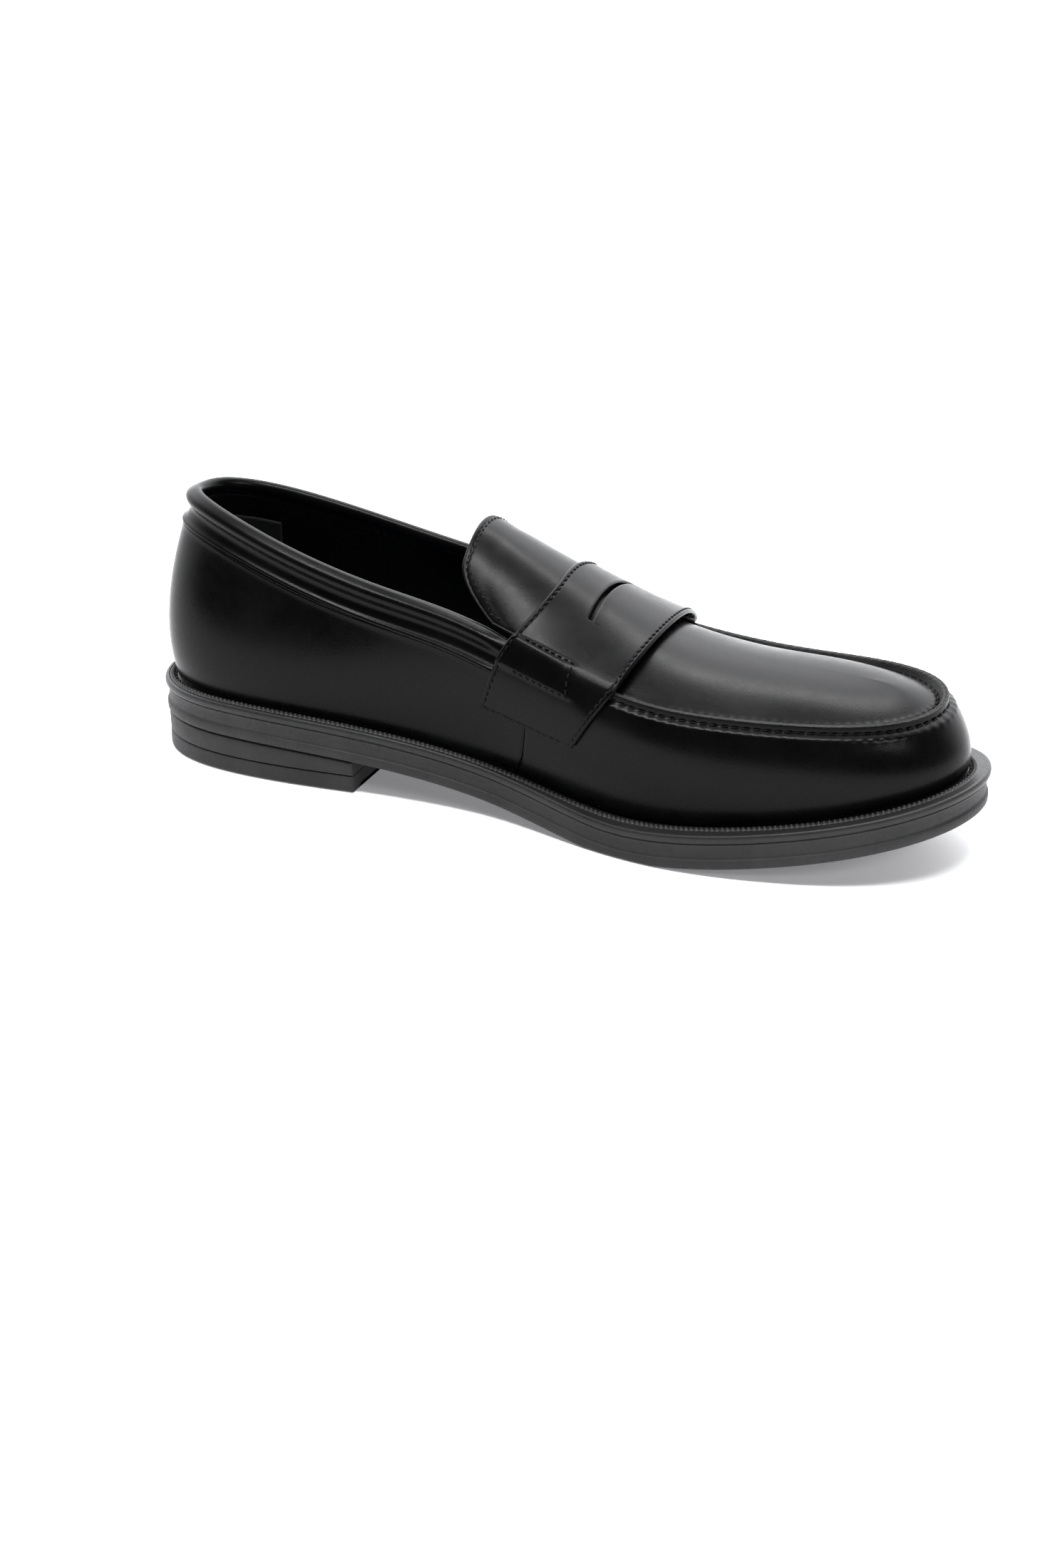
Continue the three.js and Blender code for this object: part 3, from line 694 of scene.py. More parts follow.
def apron():
    half = rim_station(steps_between(rim_arc(APRON_REAR), rim_arc(TOE), 0.5))
    u = np.concatenate([half, (RING - half)[-2::-1]])
    rim, other = spline(RIM, u), spline(RIM, RING - u)
    out, arc = level_out(u, RIM_LEVEL), rim_arc(u)
    rear, toe = spline(RIM, APRON_REAR)[0], spline(RIM, TOE)[0]
    share = ((rim + other)[:, 0] / 2 - rear) / (toe - rear)
    spine = column(rear + share * (APRON_SPINE_TOE - rear), (rim + other)[:, 1] / 2, 0.0)
    uncovered = smooth(*STRAP_COVER, np.minimum(u, RING - u))
    start = rim - out * APRON_INSET
    reach = np.linalg.norm((spine - start)[:, :2], axis=1)

    def row_at(k):
        """A row of the top, a share k of the way from its edge to the spine."""
        k = np.broadcast_to(k, reach.shape)
        p = lerp(start, spine, k[:, None])
        edge = rim[:, 2] + (other[:, 2] - rim[:, 2]) * k / 2
        fullness = APRON_DOME * (2 * smooth(185, 250, p[:, 0]) - 1)
        roundness = CROWN_ROUND + 0.7 * smooth(215, 258, p[:, 0])  # softens the end of the ridge
        dome = (crown(p[:, 0]) + APRON_DROP + fullness) * (1 - np.clip(1 - k, 0, None) ** roundness)
        p[:, 2] = edge - APRON_DROP + dome
        return p

    # [distance in from the rim, rise, share of the edge's raggedness]
    lip = [
        (LIP_HALF + 0.02, -0.12, 1), (1.2, 0.0, 1), (1.45, 0.02, 1), (1.7, -0.08, 0.6), (1.95, -0.35, 0),
        (2.2, -0.75, 0), (2.45, -1.2, 0), (2.7, -1.65, 0), (2.95, -2.08, 0), (3.15, -LIP_FOOT, 0),
    ]
    drop = 2.0 * (1 - uncovered)  # under the strap the lip is pressed down
    outer = [
        rim - out * inset + UPWARD * (rise - drop * min(1, 1 + rise / LIP_FOOT) + ragged(arc) * edge)[:, None]
        for inset, rise, edge in lip
    ]
    for inset in (3.3, APRON_GROOVE, 3.6, 3.8, 4.05, 4.35, 4.7, 5.15, 5.7, 6.4, 7.3):
        p = row_at((inset - APRON_INSET) / reach)
        drawn = pucker(inset - APRON_GROOVE, arc, SEAM_PITCH, 0.45, 0.35) * uncovered
        swell = 0.2 * hump(inset - 4.7, 0.8) * (0.7 - 0.3 * np.cos(2 * np.pi * arc / SEAM_PITCH))
        p[:, 2] += drawn + swell * uncovered
        outer.append(p)
    first = (8 - APRON_INSET) / np.linalg.norm((spine - rim)[:, :2], axis=1)
    for k in np.linspace(0, 1, 22):
        p = row_at(first + (1 - first) * k)
        p[:, 2] += undulate(p, 22, 0.12) * smooth(0, 0.3, k)
        outer.append(p)
    outer = np.stack(outer, axis=1)
    inner = outer - UPWARD * LEATHER
    for r in range(len(lip)):
        inner[:, r] = rim - out * (LIP_HALF + 0.02 + 0.1 * r) - UPWARD * (0.9 + 0.34 * r + drop)[:, None]
    loops = sheet_loops(outer, inner)
    n, m, _ = loops.shape
    faces = grid_faces(n, m, wrap_m=True)
    row = faces[:, 0] % m
    edge = row < len(lip) - 2
    spine_edge = row == outer.shape[1] - 1  # both halves share the spine, so it has no side
    caps = [strip_cap(0, m), strip_cap((n - 1) * m, m)[:, ::-1]]
    faces = np.concatenate([faces[~spine_edge], *caps])
    edge = np.concatenate([edge[~spine_edge], np.zeros(2 * len(caps[0]), bool)])
    piece("apron_leather", (loops.reshape(-1, 3), faces), BOX_CALF,
          replaces=["apron"], weld=0.004, second=(TURNED_EDGE, edge))

    shown, groove = is_sewn(u), len(lip) + 1
    lean = unit(UPWARD - out[shown] * 0.6)
    sew("apron_seam_thread_inner", outer[shown, groove], lean, SEAM_PITCH, 2.4, 0.28, lift=0.05,
        slant=-0.2, start=1.0, uneven=0.09)


apron()


# ---- quarters and binding

BINDING_DEPTH = 12.2


def quarter(name, side):
    arc_end = 150
    near = END_STEPS / arc_end
    shares = np.concatenate([near, np.linspace(2.4, arc_end - 2.4, 170) / arc_end, 1 - near[::-1]])

    def u_of(a, v):
        t = SEAM_CLEAR + (seam_station(v) - 2 * SEAM_CLEAR) * a
        return t if side > 0 else RING - t

    tops = np.array([BINDING_DEPTH, 12.35, 12.6, 13.0, 13.5, 14.2, 15, 16.5, 18])
    v = wall_levels(u_of, shares, tops, np.linspace(0, 1, 25)[1:])
    u = u_of(shares[:, None], v)
    natural, normals = wall(u, v), wall_out(u, v)
    below = lengths(natural, axis=1)
    offset = undulate(natural, 26, 0.18) + seam_grooves(natural)
    offset += 0.3 * hump(below, 1.4) - 0.2 * hump(below, 0.25)
    faces = lasted(u_of(shares, 0), natural + normals * offset[..., None], natural - normals * LEATHER)
    piece(f"{name}_leather", skin(sheet_loops(*faces)), BOX_CALF, replaces=[name])


quarter("quarter_lateral", 1)
quarter("quarter_medial", -1)

BINDING_END = 5.84


def smooth_outline(corners, steps):
    """A closed outline with round corners: a B-spline over the given points."""
    count = len(corners)
    return spline(np.array(corners, float), np.linspace(0, count, count * steps, endpoint=False))


# [distance outwards, height up the wall] from the rim: the band, the groove above it and the roll.
BINDING_OUTLINE = [
    [-1.2, -11.3], [-0.8, -12.4], [-0.1, -12.7], [0.4, -12.4], [0.8, -11.8], [0.5, -11.1], [-0.2, -10.4],
    [-0.7, -9.2], [-0.85, -7.7], [-0.6, -6.3], [0.3, -5.3], [1.35, -4.5], [1.95, -3.4], [2.0, -2.3],
    [1.5, -1.3], [0.55, -0.35], [-0.45, 0.6], [-1.6, 1.0], [-3.2, 0.4], [-4.2, -1.5], [-3.9, -3.8],
    [-3.2, -5.2], [-2.5, -5.8], [-2.3, -7], [-1.8, -9],
]


def binding():
    half = steps_between(0, BINDING_END, 0.02)
    t = np.concatenate([-half[:0:-1], half])
    u = t % RING
    rim = spline(RIM, u)
    level = np.full(u.shape, RIM_LEVEL)
    out, up = wall_out(u, level), unit(rim - wall(u, level))
    x, z = smooth_outline(BINDING_OUTLINE, 4).T
    flat = smooth(5.3, 5.62, np.abs(t))[:, None]  # pressed flatter as it goes under the strap
    across = x * (1 - 0.55 * flat * (x > 0))
    along = np.where(z > -4, z - 0.6 * flat, z)
    loops = rim[:, None] + out[:, None] * across[..., None] + up[:, None] * along[..., None]
    loops = loops + out[:, None] * undulate(loops, 21, 0.1)[..., None]
    obj = piece("topline_binding_leather", skin(loops), BOX_CALF,
                replaces=["topline_binding"])


binding()

# ---- the saddle strap

STRAP_REACH = 1.55
STRAP_LOW = 0.6
STRAP_HIGH = 2.0
SLOT = {"reach": 0.54, "station": 6.285, "bend": 0.02, "half": 0.75}
EDGE_STITCH = 1.7  # distance of the edge stitching from the fold
STRAP_PITCH = 2.6
END_CLEAR = 0.06  # stations left free at both ends of the stitching along the strap's ends
REAR_EDGE = {"middle": 5.875, "from": 0.3, "rate": 0.485, "power": 1.92}
FRONT_EDGE = {"middle": 6.945, "bow": 0.15, "from": 0.95, "rate": 0.78, "power": 1.44}
TAB = {"front": 6.35, "top": 0.94, "bottom": 1.17, "rise": 1.3}
TAB_SEAM = {"front": 0.02, "rear": 0.12}  # stations between the tab's outline and its stitching


def sweep_back(q, edge):
    return edge["rate"] * np.maximum(0, np.abs(q) - edge["from"]) ** edge["power"]


def strap_rear(q):
    return REAR_EDGE["middle"] - sweep_back(q, REAR_EDGE)


def strap_front(q):
    return FRONT_EDGE["middle"] - FRONT_EDGE["bow"] * q * q - sweep_back(q, FRONT_EDGE)


def tab_shape(t, q):
    """The end of the binding pads the strap out inside a stitched outline."""
    side = np.abs(q)
    along = 1 - smooth(TAB["front"] - 0.05, TAB["front"] + 0.02, t)
    above = smooth(TAB["top"] - 0.02, TAB["top"] + 0.03, side)
    below = 1 - smooth(TAB["bottom"] - 0.02, TAB["bottom"] + 0.02, side)
    spread = (1 - smooth(TAB["front"], TAB["front"] + 0.3, t)) * hump((side - 1.05) / 0.2, 1)
    return TAB["rise"] * (0.55 * along * above * below + 0.45 * spread)


def fold(distance, radius=0.95):
    """Share of the full thickness near a folded edge."""
    k = np.clip(distance / radius, 0, 1)
    return np.sqrt(np.clip(1 - (1 - k) ** 2, 0.0004, 1))


def in_each_column(where, at, values):
    """Interpolates along each column, whose values are given at places of its own."""
    return np.array([np.interp(*column) for column in zip(where, at, values)])


def strap():
    tip = 0.55 / 45  # q per mm, near enough for the fine columns at the ends
    ends = STRAP_REACH - np.append(END_STEPS, 2.4)[::-1] * tip
    slot_end, round_end = SLOT["reach"], SLOT["half"] / 42
    around_slot = slot_end - round_end * (1 - np.cos(np.linspace(0, np.pi / 2, 7)))
    right = np.concatenate([
        steps_between(0, slot_end - round_end, 0.013)[:-1],
        around_slot[::-1],
        steps_between(slot_end + 0.008, ends[0] - 0.01, 0.011),
        ends,
    ])
    q = np.concatenate([-right[:0:-1], right])
    rear, front = strap_rear(q), strap_front(q)
    path_t = rear[:, None] + (front - rear)[:, None] * np.linspace(0, 1, 241)
    at = lengths(soft_section(path_t, q[:, None]), axis=1)
    total = at[:, -1]

    # Beyond the slot its line bends to the middle of the strap.
    slot_line = SLOT["station"] + SLOT["bend"] * (q / SLOT["reach"]) ** 2
    slot_t = lerp(slot_line, (rear + front) / 2, smooth(slot_end, 1.0, np.abs(q)))
    slot_at = in_each_column(slot_t, path_t, at)
    past = np.clip((np.abs(q) - (slot_end - round_end)) / round_end, 0, 1)
    gape = SLOT["half"] * np.sqrt(np.clip(1 - past**2, 0, 1))
    gape[np.abs(q) > slot_end - 1e-9] = 0
    opening = smooth(0, 0.8, gape)[:, None]

    edges = np.array([
        0, 0.1, 0.25, 0.45, 0.7, 0.95, 1.2, 1.4, 1.55, EDGE_STITCH, 1.85, 2.0, 2.25, 2.6, 3.2, 4])
    edge_row = np.argmin(np.abs(edges - EDGE_STITCH))
    lips = np.array([1.8, 1.2, 0.8, 0.5, 0.28, 0.12, 0.03, 0])
    across = lengths(soft_section(SLOT["station"], q))
    end_gap = np.minimum(across, across[-1] - across)[:, None]
    half, mid = (STRAP_HIGH - STRAP_LOW) / 2, (STRAP_HIGH + STRAP_LOW) / 2

    def patch(low, high):
        """Rows from an outer edge at low to the slot's side at high, in mm along the column. Also gives
        the stations of the edge stitching."""
        span = np.abs(high - low)[:, None]
        start = np.broadcast_to(edges, (len(q), len(edges)))
        finish = span - lips
        middle = start[:, -1:] + (finish[:, :1] - start[:, -1:]) * np.linspace(0, 1, 9)[1:-1]
        d = np.concatenate([start, middle, finish], axis=1)
        mm = low[:, None] + np.sign(high - low)[:, None] * d
        t = in_each_column(mm, at, path_t)
        full_q = np.broadcast_to(q[:, None], t.shape)
        share = fold(d) * fold(end_gap) * lerp(1.0, fold(span - d, 0.45), opening)
        arc = lengths(soft_section(t[:, edge_row - 1], q))[:, None]
        stitched = pucker(d - EDGE_STITCH, arc, STRAP_PITCH, 0.3, 0.3)
        stitched += pucker(end_gap - EDGE_STITCH, mm, STRAP_PITCH, 0.25, 0.3)
        plump = 0.16 * (hump(d - 0.9, 0.55) + hump(end_gap - 0.9, 0.55))
        tab = tab_shape(t, full_q)
        uneven = undulate(soft_section(t, full_q), 17, 0.16) * smooth(0, 5, d)
        ridge = 0.1 * hump(span - d - 0.9, 0.7) * opening
        top = mid + half * share + plump + stitched + tab + uneven + ridge
        bottom = np.minimum(mid - half * share + 0.9 * tab + uneven, top - 0.08)
        return over(t, full_q, top), over(t, full_q, bottom), t[:, edge_row]

    rear_top, rear_bottom, rear_line = patch(np.zeros_like(total), slot_at - gape)
    front_top, front_bottom, front_line = patch(total, slot_at + gape)
    n, m, _ = rear_top.shape
    points = np.concatenate([g.reshape(-1, 3) for g in (rear_top, rear_bottom, front_top, front_bottom)])
    size = n * m
    base = grid_faces(n, m)
    parts = [base, base[:, ::-1] + size, base[:, ::-1] + 2 * size, base + 3 * size]

    def wall_along(rows, flip):
        """Joins a row of the upper face to the same row of the lower one."""
        a, b = rows, rows + size
        strip = np.stack([a[:-1], a[1:], b[1:], b[:-1]], axis=1)
        return strip[:, ::-1] if flip else strip

    outer_edge = np.arange(n) * m
    slot_side = outer_edge + m - 1
    beside_slot = (gape[:-1] > 0) | (gape[1:] > 0)
    for block, turned in ((0, False), (2 * size, True)):
        parts.append(wall_along(block + outer_edge, not turned))
        parts.append(wall_along(block + slot_side, turned)[beside_slot])
        for end, flip in ((0, False), (n - 1, True)):
            parts.append(wall_along(block + end * m + np.arange(m), flip ^ turned))
    piece("saddle_strap_leather", (points, np.concatenate(parts)), BOX_CALF,
          replaces=["saddle_strap"], weld=0.003)

    def sew_over(name, t, at_q, sunk, **thread):
        lift = STRAP_HIGH - sunk + tab_shape(t, at_q)
        sew(name, over(t, at_q, lift), facing(soft_section, t, at_q), STRAP_PITCH, **thread)

    inside = np.abs(q) < STRAP_REACH - 0.05
    sew_over("strap_thread_rear", rear_line[inside], q[inside], 0.22)
    sew_over("strap_thread_front", front_line[inside], q[inside], 0.22)
    end_q = STRAP_REACH - EDGE_STITCH * tip
    end_t = np.linspace(strap_rear(end_q) + END_CLEAR, strap_front(end_q) - END_CLEAR, 120)
    k = np.linspace(0, 1, 60)
    tab_front = TAB["front"] - TAB_SEAM["front"]
    top_t = lerp(strap_rear(TAB["top"]) + TAB_SEAM["rear"], tab_front, k)
    low_t = lerp(tab_front, strap_rear(TAB["bottom"]) + TAB_SEAM["rear"], k)
    turn_q = lerp(TAB["top"], TAB["bottom"], k)[1:-1]
    tab_t = np.concatenate([top_t, np.full(len(turn_q), tab_front), low_t])
    tab_q = np.concatenate([np.full(60, TAB["top"]), turn_q, np.full(60, TAB["bottom"])])
    sides = ((1, "lateral"), (-1, "medial"))
    for side, label in sides:
        sew_over(f"strap_thread_{label}", end_t, np.full(end_t.shape, side * end_q), 0.22)
    for side, label in sides:
        sew_over(f"tab_thread_{label}", tab_t, side * tab_q, 0.1, radius=0.32, lift=0.1)


strap()

# ---- the tongue

TONGUE_REACH = 0.95
TONGUE_FRONT = 6.1
TONGUE_PITCH = 2.6
TONGUE_END = {"middle": 4.905, "from": 0.62, "width": 0.28, "rate": 0.34, "power": 2.2}


def tongue_end(q):
    corner = np.maximum(0, (np.abs(q) - TONGUE_END["from"]) / TONGUE_END["width"])
    return TONGUE_END["middle"] + TONGUE_END["rate"] * corner ** TONGUE_END["power"]


def bends_with_tongue(obj, *nodes):
    if nodes:
        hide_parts(*nodes)
    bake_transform(obj)


def tongue_grid(inset):
    """Columns across the tongue and rows from its end to its hidden front, as stations t and q, with
    the points there, the distance from the end and that from the nearest edge. inset is in mm."""
    outline_q = TONGUE_REACH * np.sin(np.linspace(-1, 1, 181) * np.pi / 2)
    q = outline_q * (1 - inset / 34)
    end = tongue_end(q)
    path_t = end[:, None] + (TONGUE_FRONT - end)[:, None] * np.linspace(0, 1, 161)
    at = lengths(soft_section(path_t, q[:, None]), axis=1)
    span = at[:, -1:] - inset
    rows = np.array([0, 0.08, 0.2, 0.4, 0.65, 0.95, 1.25, 1.55, 1.8, 2.05, 2.3, 2.7, 3.3, 4.2])
    rest = rows[-1] + (span - rows[-1]) * np.linspace(0, 1, 26)[1:]
    d = np.concatenate([np.broadcast_to(rows, (len(q), len(rows))), rest], axis=1)
    t = in_each_column(d + inset, at, path_t)
    q = np.broadcast_to(q[:, None], t.shape)
    flat = soft_section(t, q)
    across = lengths(flat, axis=0)
    return t, q, flat, d, np.minimum(d, np.minimum(across, across[-1:] - across))


def tongue():
    t, q, flat, d, rim = tongue_grid(0.0)
    share = fold(rim, 0.8)
    groove = pucker(rim - 2.0, lengths(flat[:, 8])[:, None], TONGUE_PITCH, 0.28, 0.32)
    uneven = undulate(flat, 19, 0.2) * smooth(0, 4, rim)
    crease = -0.25 * hump(d - 9, 2.2) * hump((np.abs(q) - 0.45) / 0.3, 1)
    top = -0.6 + 0.6 * share + groove + uneven + crease + 0.12 * hump(rim - 0.8, 0.6)
    bottom = np.minimum(-0.6 - 0.75 * share + uneven, top - 0.08)
    loops = sheet_loops(over(t, q, top), over(t, q, bottom))
    obj = piece("tongue_leather", skin(loops), BOX_CALF, body=None, weld=0.002)
    bends_with_tongue(obj, "tongue")

    t, q, _, _, rim = tongue_grid(1.4)
    share = fold(rim, 0.5)
    loops = sheet_loops(over(t, q, -2.05 + 0.4 * share), over(t, q, -2.1 - 0.4 * share))
    obj = piece("tongue_lining_leather", skin(loops), LINING_LEATHER, body=None, weld=0.002)
    bends_with_tongue(obj, "tongue_lining")

    # The stitches run up one side, round the end and down the other, 2 mm in from the edge.
    corner_t, stop = 5.32, 5.55
    side_t = np.linspace(stop, corner_t, 24)
    edge_q = TONGUE_REACH - 0.055
    end_q = edge_q * np.sin((1 - 2 * np.linspace(0, 1, 90)) * np.pi / 2)
    end_t = tongue_end(np.abs(end_q) * TONGUE_REACH / edge_q) + 0.07
    path_t = np.concatenate([side_t, np.minimum(end_t, corner_t), side_t[::-1]])
    path_q = np.concatenate([np.full(24, edge_q), end_q, np.full(24, -edge_q)])
    line = over(path_t, path_q, np.full(path_t.shape, -0.2))
    obj = sew("tongue_thread", line, facing(soft_section, path_t, path_q), TONGUE_PITCH, body=None)
    bends_with_tongue(obj)


tongue()

# ---- linings

LINING_OUT = 2.9
LINING_IN = 3.8


def lining(name, node, reach, tops, material=LINING_LEATHER, outer=LINING_OUT,
           inner=LINING_IN, low=0.06, seams=()):
    """A layer inside the wall between two stations. tops are distances below the rim in mm."""
    start, stop = reach
    u = np.linspace(start, stop, max(24, int(abs(stop - start) * 40)))
    v = wall_levels(lambda a, v: a + 0 * v, u, np.array(tops), np.linspace(0, 1 - low, 22)[1:])
    uu = np.broadcast_to(u[:, None], v.shape) % RING
    natural, normals = wall(uu, v), wall_out(uu, v)
    along, below = lengths(natural, axis=0), lengths(natural, axis=1)
    rim = np.minimum(np.minimum(along, along[-1:] - along), np.minimum(below, below[:, -1:] - below))
    share = fold(rim, 0.4)
    mid, half = -(outer + inner) / 2, (inner - outer) / 2
    stitched = np.zeros(v.shape)
    for seam in seams:
        gap = (uu - seam % RING) * (rim_arc(seam + 0.5) - rim_arc(seam - 0.5))
        stitched += 0.35 * hump(gap, 0.5) - 0.25 * hump(np.abs(gap) - 1.3, 0.6)
    loops = sheet_loops(natural + normals * (mid + half * share)[..., None],
                        natural + normals * (mid - half * share + stitched)[..., None])
    piece(name, skin(loops), material, replaces=[node], weld=0.002)


lining("quarter_lining_leather", "quarter_lining", (-5.7, 5.7), [4.6, 4.8, 5.2, 6], seams=(3.25, -3.25))
lining("vamp_lining_leather", "vamp_lining", (6, RING - 6), [5.5, 6, 7])
lining("heel_grip_suede", "heel_grip", (-2, 2), [13, 13.4, 14], SUEDE, 4.2, 5.0, low=0.24)


# ---- the bottom

PERIMETER = np.linspace(0, RING, 3600, endpoint=False)
feather_line = spline(FEATHER, PERIMETER)
arc_of_feather = lengths(feather_line)
COARSE = np.interp(np.linspace(0, arc_of_feather[-1], 900, endpoint=False), arc_of_feather, PERIMETER)
SPINE_HEEL = 38
SPINE_TOE = 254


def spine_point(u):
    heel, toe = STATIONS[0][0], STATIONS[TOE][0]
    share = (spline(FEATHER, u)[..., 0] - heel) / (toe - heel)
    return column(SPINE_HEEL + (SPINE_TOE - SPINE_HEEL) * share, 0 * share, 0 * share)


def shifted(line, out, distance):
    """A line moved outwards by a distance, which may be a function of x."""
    amount = distance(line[:, 0]) if callable(distance) else distance
    return line + out * np.broadcast_to(amount, len(line))[:, None]


def at_height(line, rise):
    line = line.copy()
    line[:, 2] = rise(line[:, 0])
    return line


def closed_plate(chain, levels, centre, rows):
    """Fills both faces of a plate from its edge, a chain of loops, to its centre."""
    fill = np.linspace(0, 1, rows + 1)[1:]
    top = [at_height(lerp(chain[0], centre, k), levels[0][1]) for k in fill[::-1]]
    bottom = [at_height(lerp(chain[-1], centre, k), levels[-1][1]) for k in fill]
    return skin_of(np.stack([*top, *chain, *bottom], axis=1))


def skin_of(grid):
    n, m, _ = grid.shape
    return grid.reshape(-1, 3), grid_faces(n, m, wrap_n=True)


def plate(levels, rows):
    """A solid of the bottom. Each level of its edge is [distance outwards, height at x]."""
    foot, out = spline(FEATHER, COARSE), level_out(COARSE)
    chain = [at_height(shifted(foot, out, distance), rise) for distance, rise in levels]
    return closed_plate(chain, levels, spine_point(COARSE), rows)


def above(rise):
    return lambda x: sole_top(x) + rise


def off_ground(rise):
    return lambda x: sole_foot(x) + rise


def level(z):
    return lambda x: np.full(np.shape(x), float(z))


def reach(distance):
    return lambda x: welt_width(x) + distance


def edge_levels(height, rows):
    """Levels of a plate's edge from [distance from the welt's edge, height] in each row."""
    return [(reach(distance), height(rise)) for distance, rise in rows]


RIB_PITCH = 1.75
WELT_TOP = -GAP
WELT_FOOT = -GAP - WELT
# [distance from the feather line or from the welt's edge, height, depth cut between the ribs]
WELT_UNDER = [(-9, WELT_FOOT, 0), (-4, WELT_FOOT, 0), (0, WELT_FOOT, 0)]
WELT_LIP = [
    (-1.6, WELT_FOOT), (-0.75, WELT_FOOT + 0.08), (-0.25, WELT_FOOT + 0.4), (0.0, WELT_FOOT + 1.0),
    (0.05, -GAP - WELT / 2), (0.0, WELT_TOP - 1.0), (-0.22, WELT_TOP - 0.42), (-0.6, WELT_TOP - 0.1),
    (-1.1, WELT_TOP), (-1.7, WELT_TOP - 0.02),
]
WELT_BEAD = [
    (3.5, WELT_TOP - 0.08, 0), (3.1, WELT_TOP - 0.05, 0), (2.85, 0.1, 0.3), (2.55, 0.5, 0.55),
    (2.15, 0.68, 0.7), (1.75, 0.6, 0.6), (1.45, 0.2, 0.35), (1.25, -0.25, 0), (0.9, -0.6, 0),
    (0.4, -0.8, 0), (-0.2, -0.5, 0), (-1.2, WELT_TOP, 0), (-4, WELT_TOP, 0), (-9, WELT_TOP, 0),
    (-9, -GAP - WELT / 2, 0),
]


def welt():
    fine = np.linspace(0, arc_of_feather[-1], 3600, endpoint=False)
    u = np.interp(fine, arc_of_feather, PERIMETER)
    foot, out = spline(FEATHER, u), level_out(u)
    width = welt_width(foot[:, 0])
    ribs = 0.5 + 0.5 * np.cos(2 * np.pi * lengths(foot + out * 2.5) / RIB_PITCH)
    lip = [(width + distance, rise, 0) for distance, rise in WELT_LIP]
    rows = [
        at_height(shifted(foot, out, distance), lambda x: sole_top(x) + rise - cut * (1 - ribs))
        for distance, rise, cut in [*WELT_UNDER, *lip, *WELT_BEAD]
    ]
    piece("welt_strip", skin(np.stack(rows, axis=1), ring=True), WELT_RUBBER,
          replaces=["welt"])
    line = at_height(foot + out * 0.75, above(-0.75))
    sew("welt_thread", line, UPWARD + out * 0.6, 2.9, 2.2, 0.36, lift=0.12)


welt()

TOP = -WELT - GAP - 0.04  # the outsole's top, from the feather line
OUTSOLE = [
    *edge_levels(above, [
        (-2.5, TOP), (-1.0, TOP), (-0.85, TOP - 0.05), (-0.75, TOP - 0.3), (-0.8, TOP - 0.6),
        (-1.0, TOP - 0.9), (-1.1, TOP - 1.3), (-1.15, -6.5), (-1.15, -8.3), (-1.25, -8.9), (-0.95, -9.1),
        (-0.6, -9.25), (-0.45, -9.6),
    ]),
    (reach(-0.4), lambda x: np.maximum(sole_foot(x) + 1.2, sole_top(x) - 11)),
    *edge_levels(off_ground, [
        (-0.5, 0.7), (-0.8, 0.25), (-1.3, 0.04), (-2, 0), (-5, 0), (-7.5, 0), (-8.3, 0.5), (-8.6, 1.3),
        (-9.5, 1.4),
    ]),
]
piece("outsole_rubber", plate(OUTSOLE, 6), SOLE_RUBBER, replaces=["outsole"], weld=0.01)


def foot_outline(x, inset):
    """The lateral and medial edges of the outsole at x, pulled in by an inset."""
    u = np.linspace(0, TOE, 400)
    sides = []
    for station in (u, RING - u):
        edge = shifted(spline(FEATHER, station), level_out(station), reach(-inset))
        order = np.argsort(edge[:, 0])
        sides.append(np.interp(x, edge[order, 0], edge[order, 1]))
    return sides


TREAD_PITCH = 5.2
TREAD_DEPTH = 1.9
TREAD_INSET = 10.5
SHORTEST_BAR = 8
# [distance from the bar's middle, height] across one bar
TREAD_BAR = [(-1.7, TREAD_DEPTH), (-1.25, 0.25), (-1.0, 0), (1.0, 0), (1.25, 0.25), (1.7, TREAD_DEPTH)]


def tread(name, start, stop, foot):
    """Plain cross ribs on the ground side, each a bar with sloping sides and round ends."""
    bars = []
    for x in np.arange(start, stop, TREAD_PITCH):
        high, low = foot_outline(x, TREAD_INSET)
        if high - low < SHORTEST_BAR:
            continue
        y = np.linspace(low, high, 40)
        ends = np.minimum(y - low, high - y)
        wide = np.sqrt(np.clip(1 - (1 - np.clip(ends / 1.6, 0, 1)) ** 2, 0.03, 1))
        rows = [column(x + dx * wide, y, foot(x + dx * wide) + dz) for dx, dz in TREAD_BAR]
        bars.append(skin(np.stack(rows, axis=1)))
    piece(name, joined(bars), SOLE_RUBBER)


tread("forefoot_tread", 150, 292, sole_foot)

HEEL_POINTS = 220  # round the back of a heel plate
BREAST_POINTS = 60  # across its front
HEEL_CENTRE = np.array([45.0, 0.0, 0.0])
PAD_CENTRE = np.array([42.0, 0.0, 0.0])


def flat_front(line, front, count, across):
    """The part of a line behind x = front, as a loop of evenly spaced points with a straight front."""
    part = line[line[:, 0] <= front]
    at = lengths(part)
    part = resample(part, at, np.linspace(0, at[-1], count))
    y = np.linspace(part[-1, 1], part[0, 1], across + 2)[1:-1]
    return np.concatenate([part, column(np.full(across, float(front)), y, 0.0)])


def heel_plate(name, levels):
    """A plate of the heel: round at the back, and flat across at the breast."""
    u = np.linspace(-4, 4, 500) % RING
    foot, out = spline(FEATHER, u), level_out(u)
    chain = []
    for distance, rise in levels:
        loop = flat_front(shifted(foot, out, distance), HEEL_BREAST, HEEL_POINTS, BREAST_POINTS)
        loop[[0, HEEL_POINTS - 1], 0] = HEEL_BREAST
        chain.append(at_height(loop, rise))
    made = closed_plate(chain, levels, HEEL_CENTRE, 4)
    piece(f"{name}_rubber", made, SOLE_RUBBER, replaces=[name], weld=0.01)


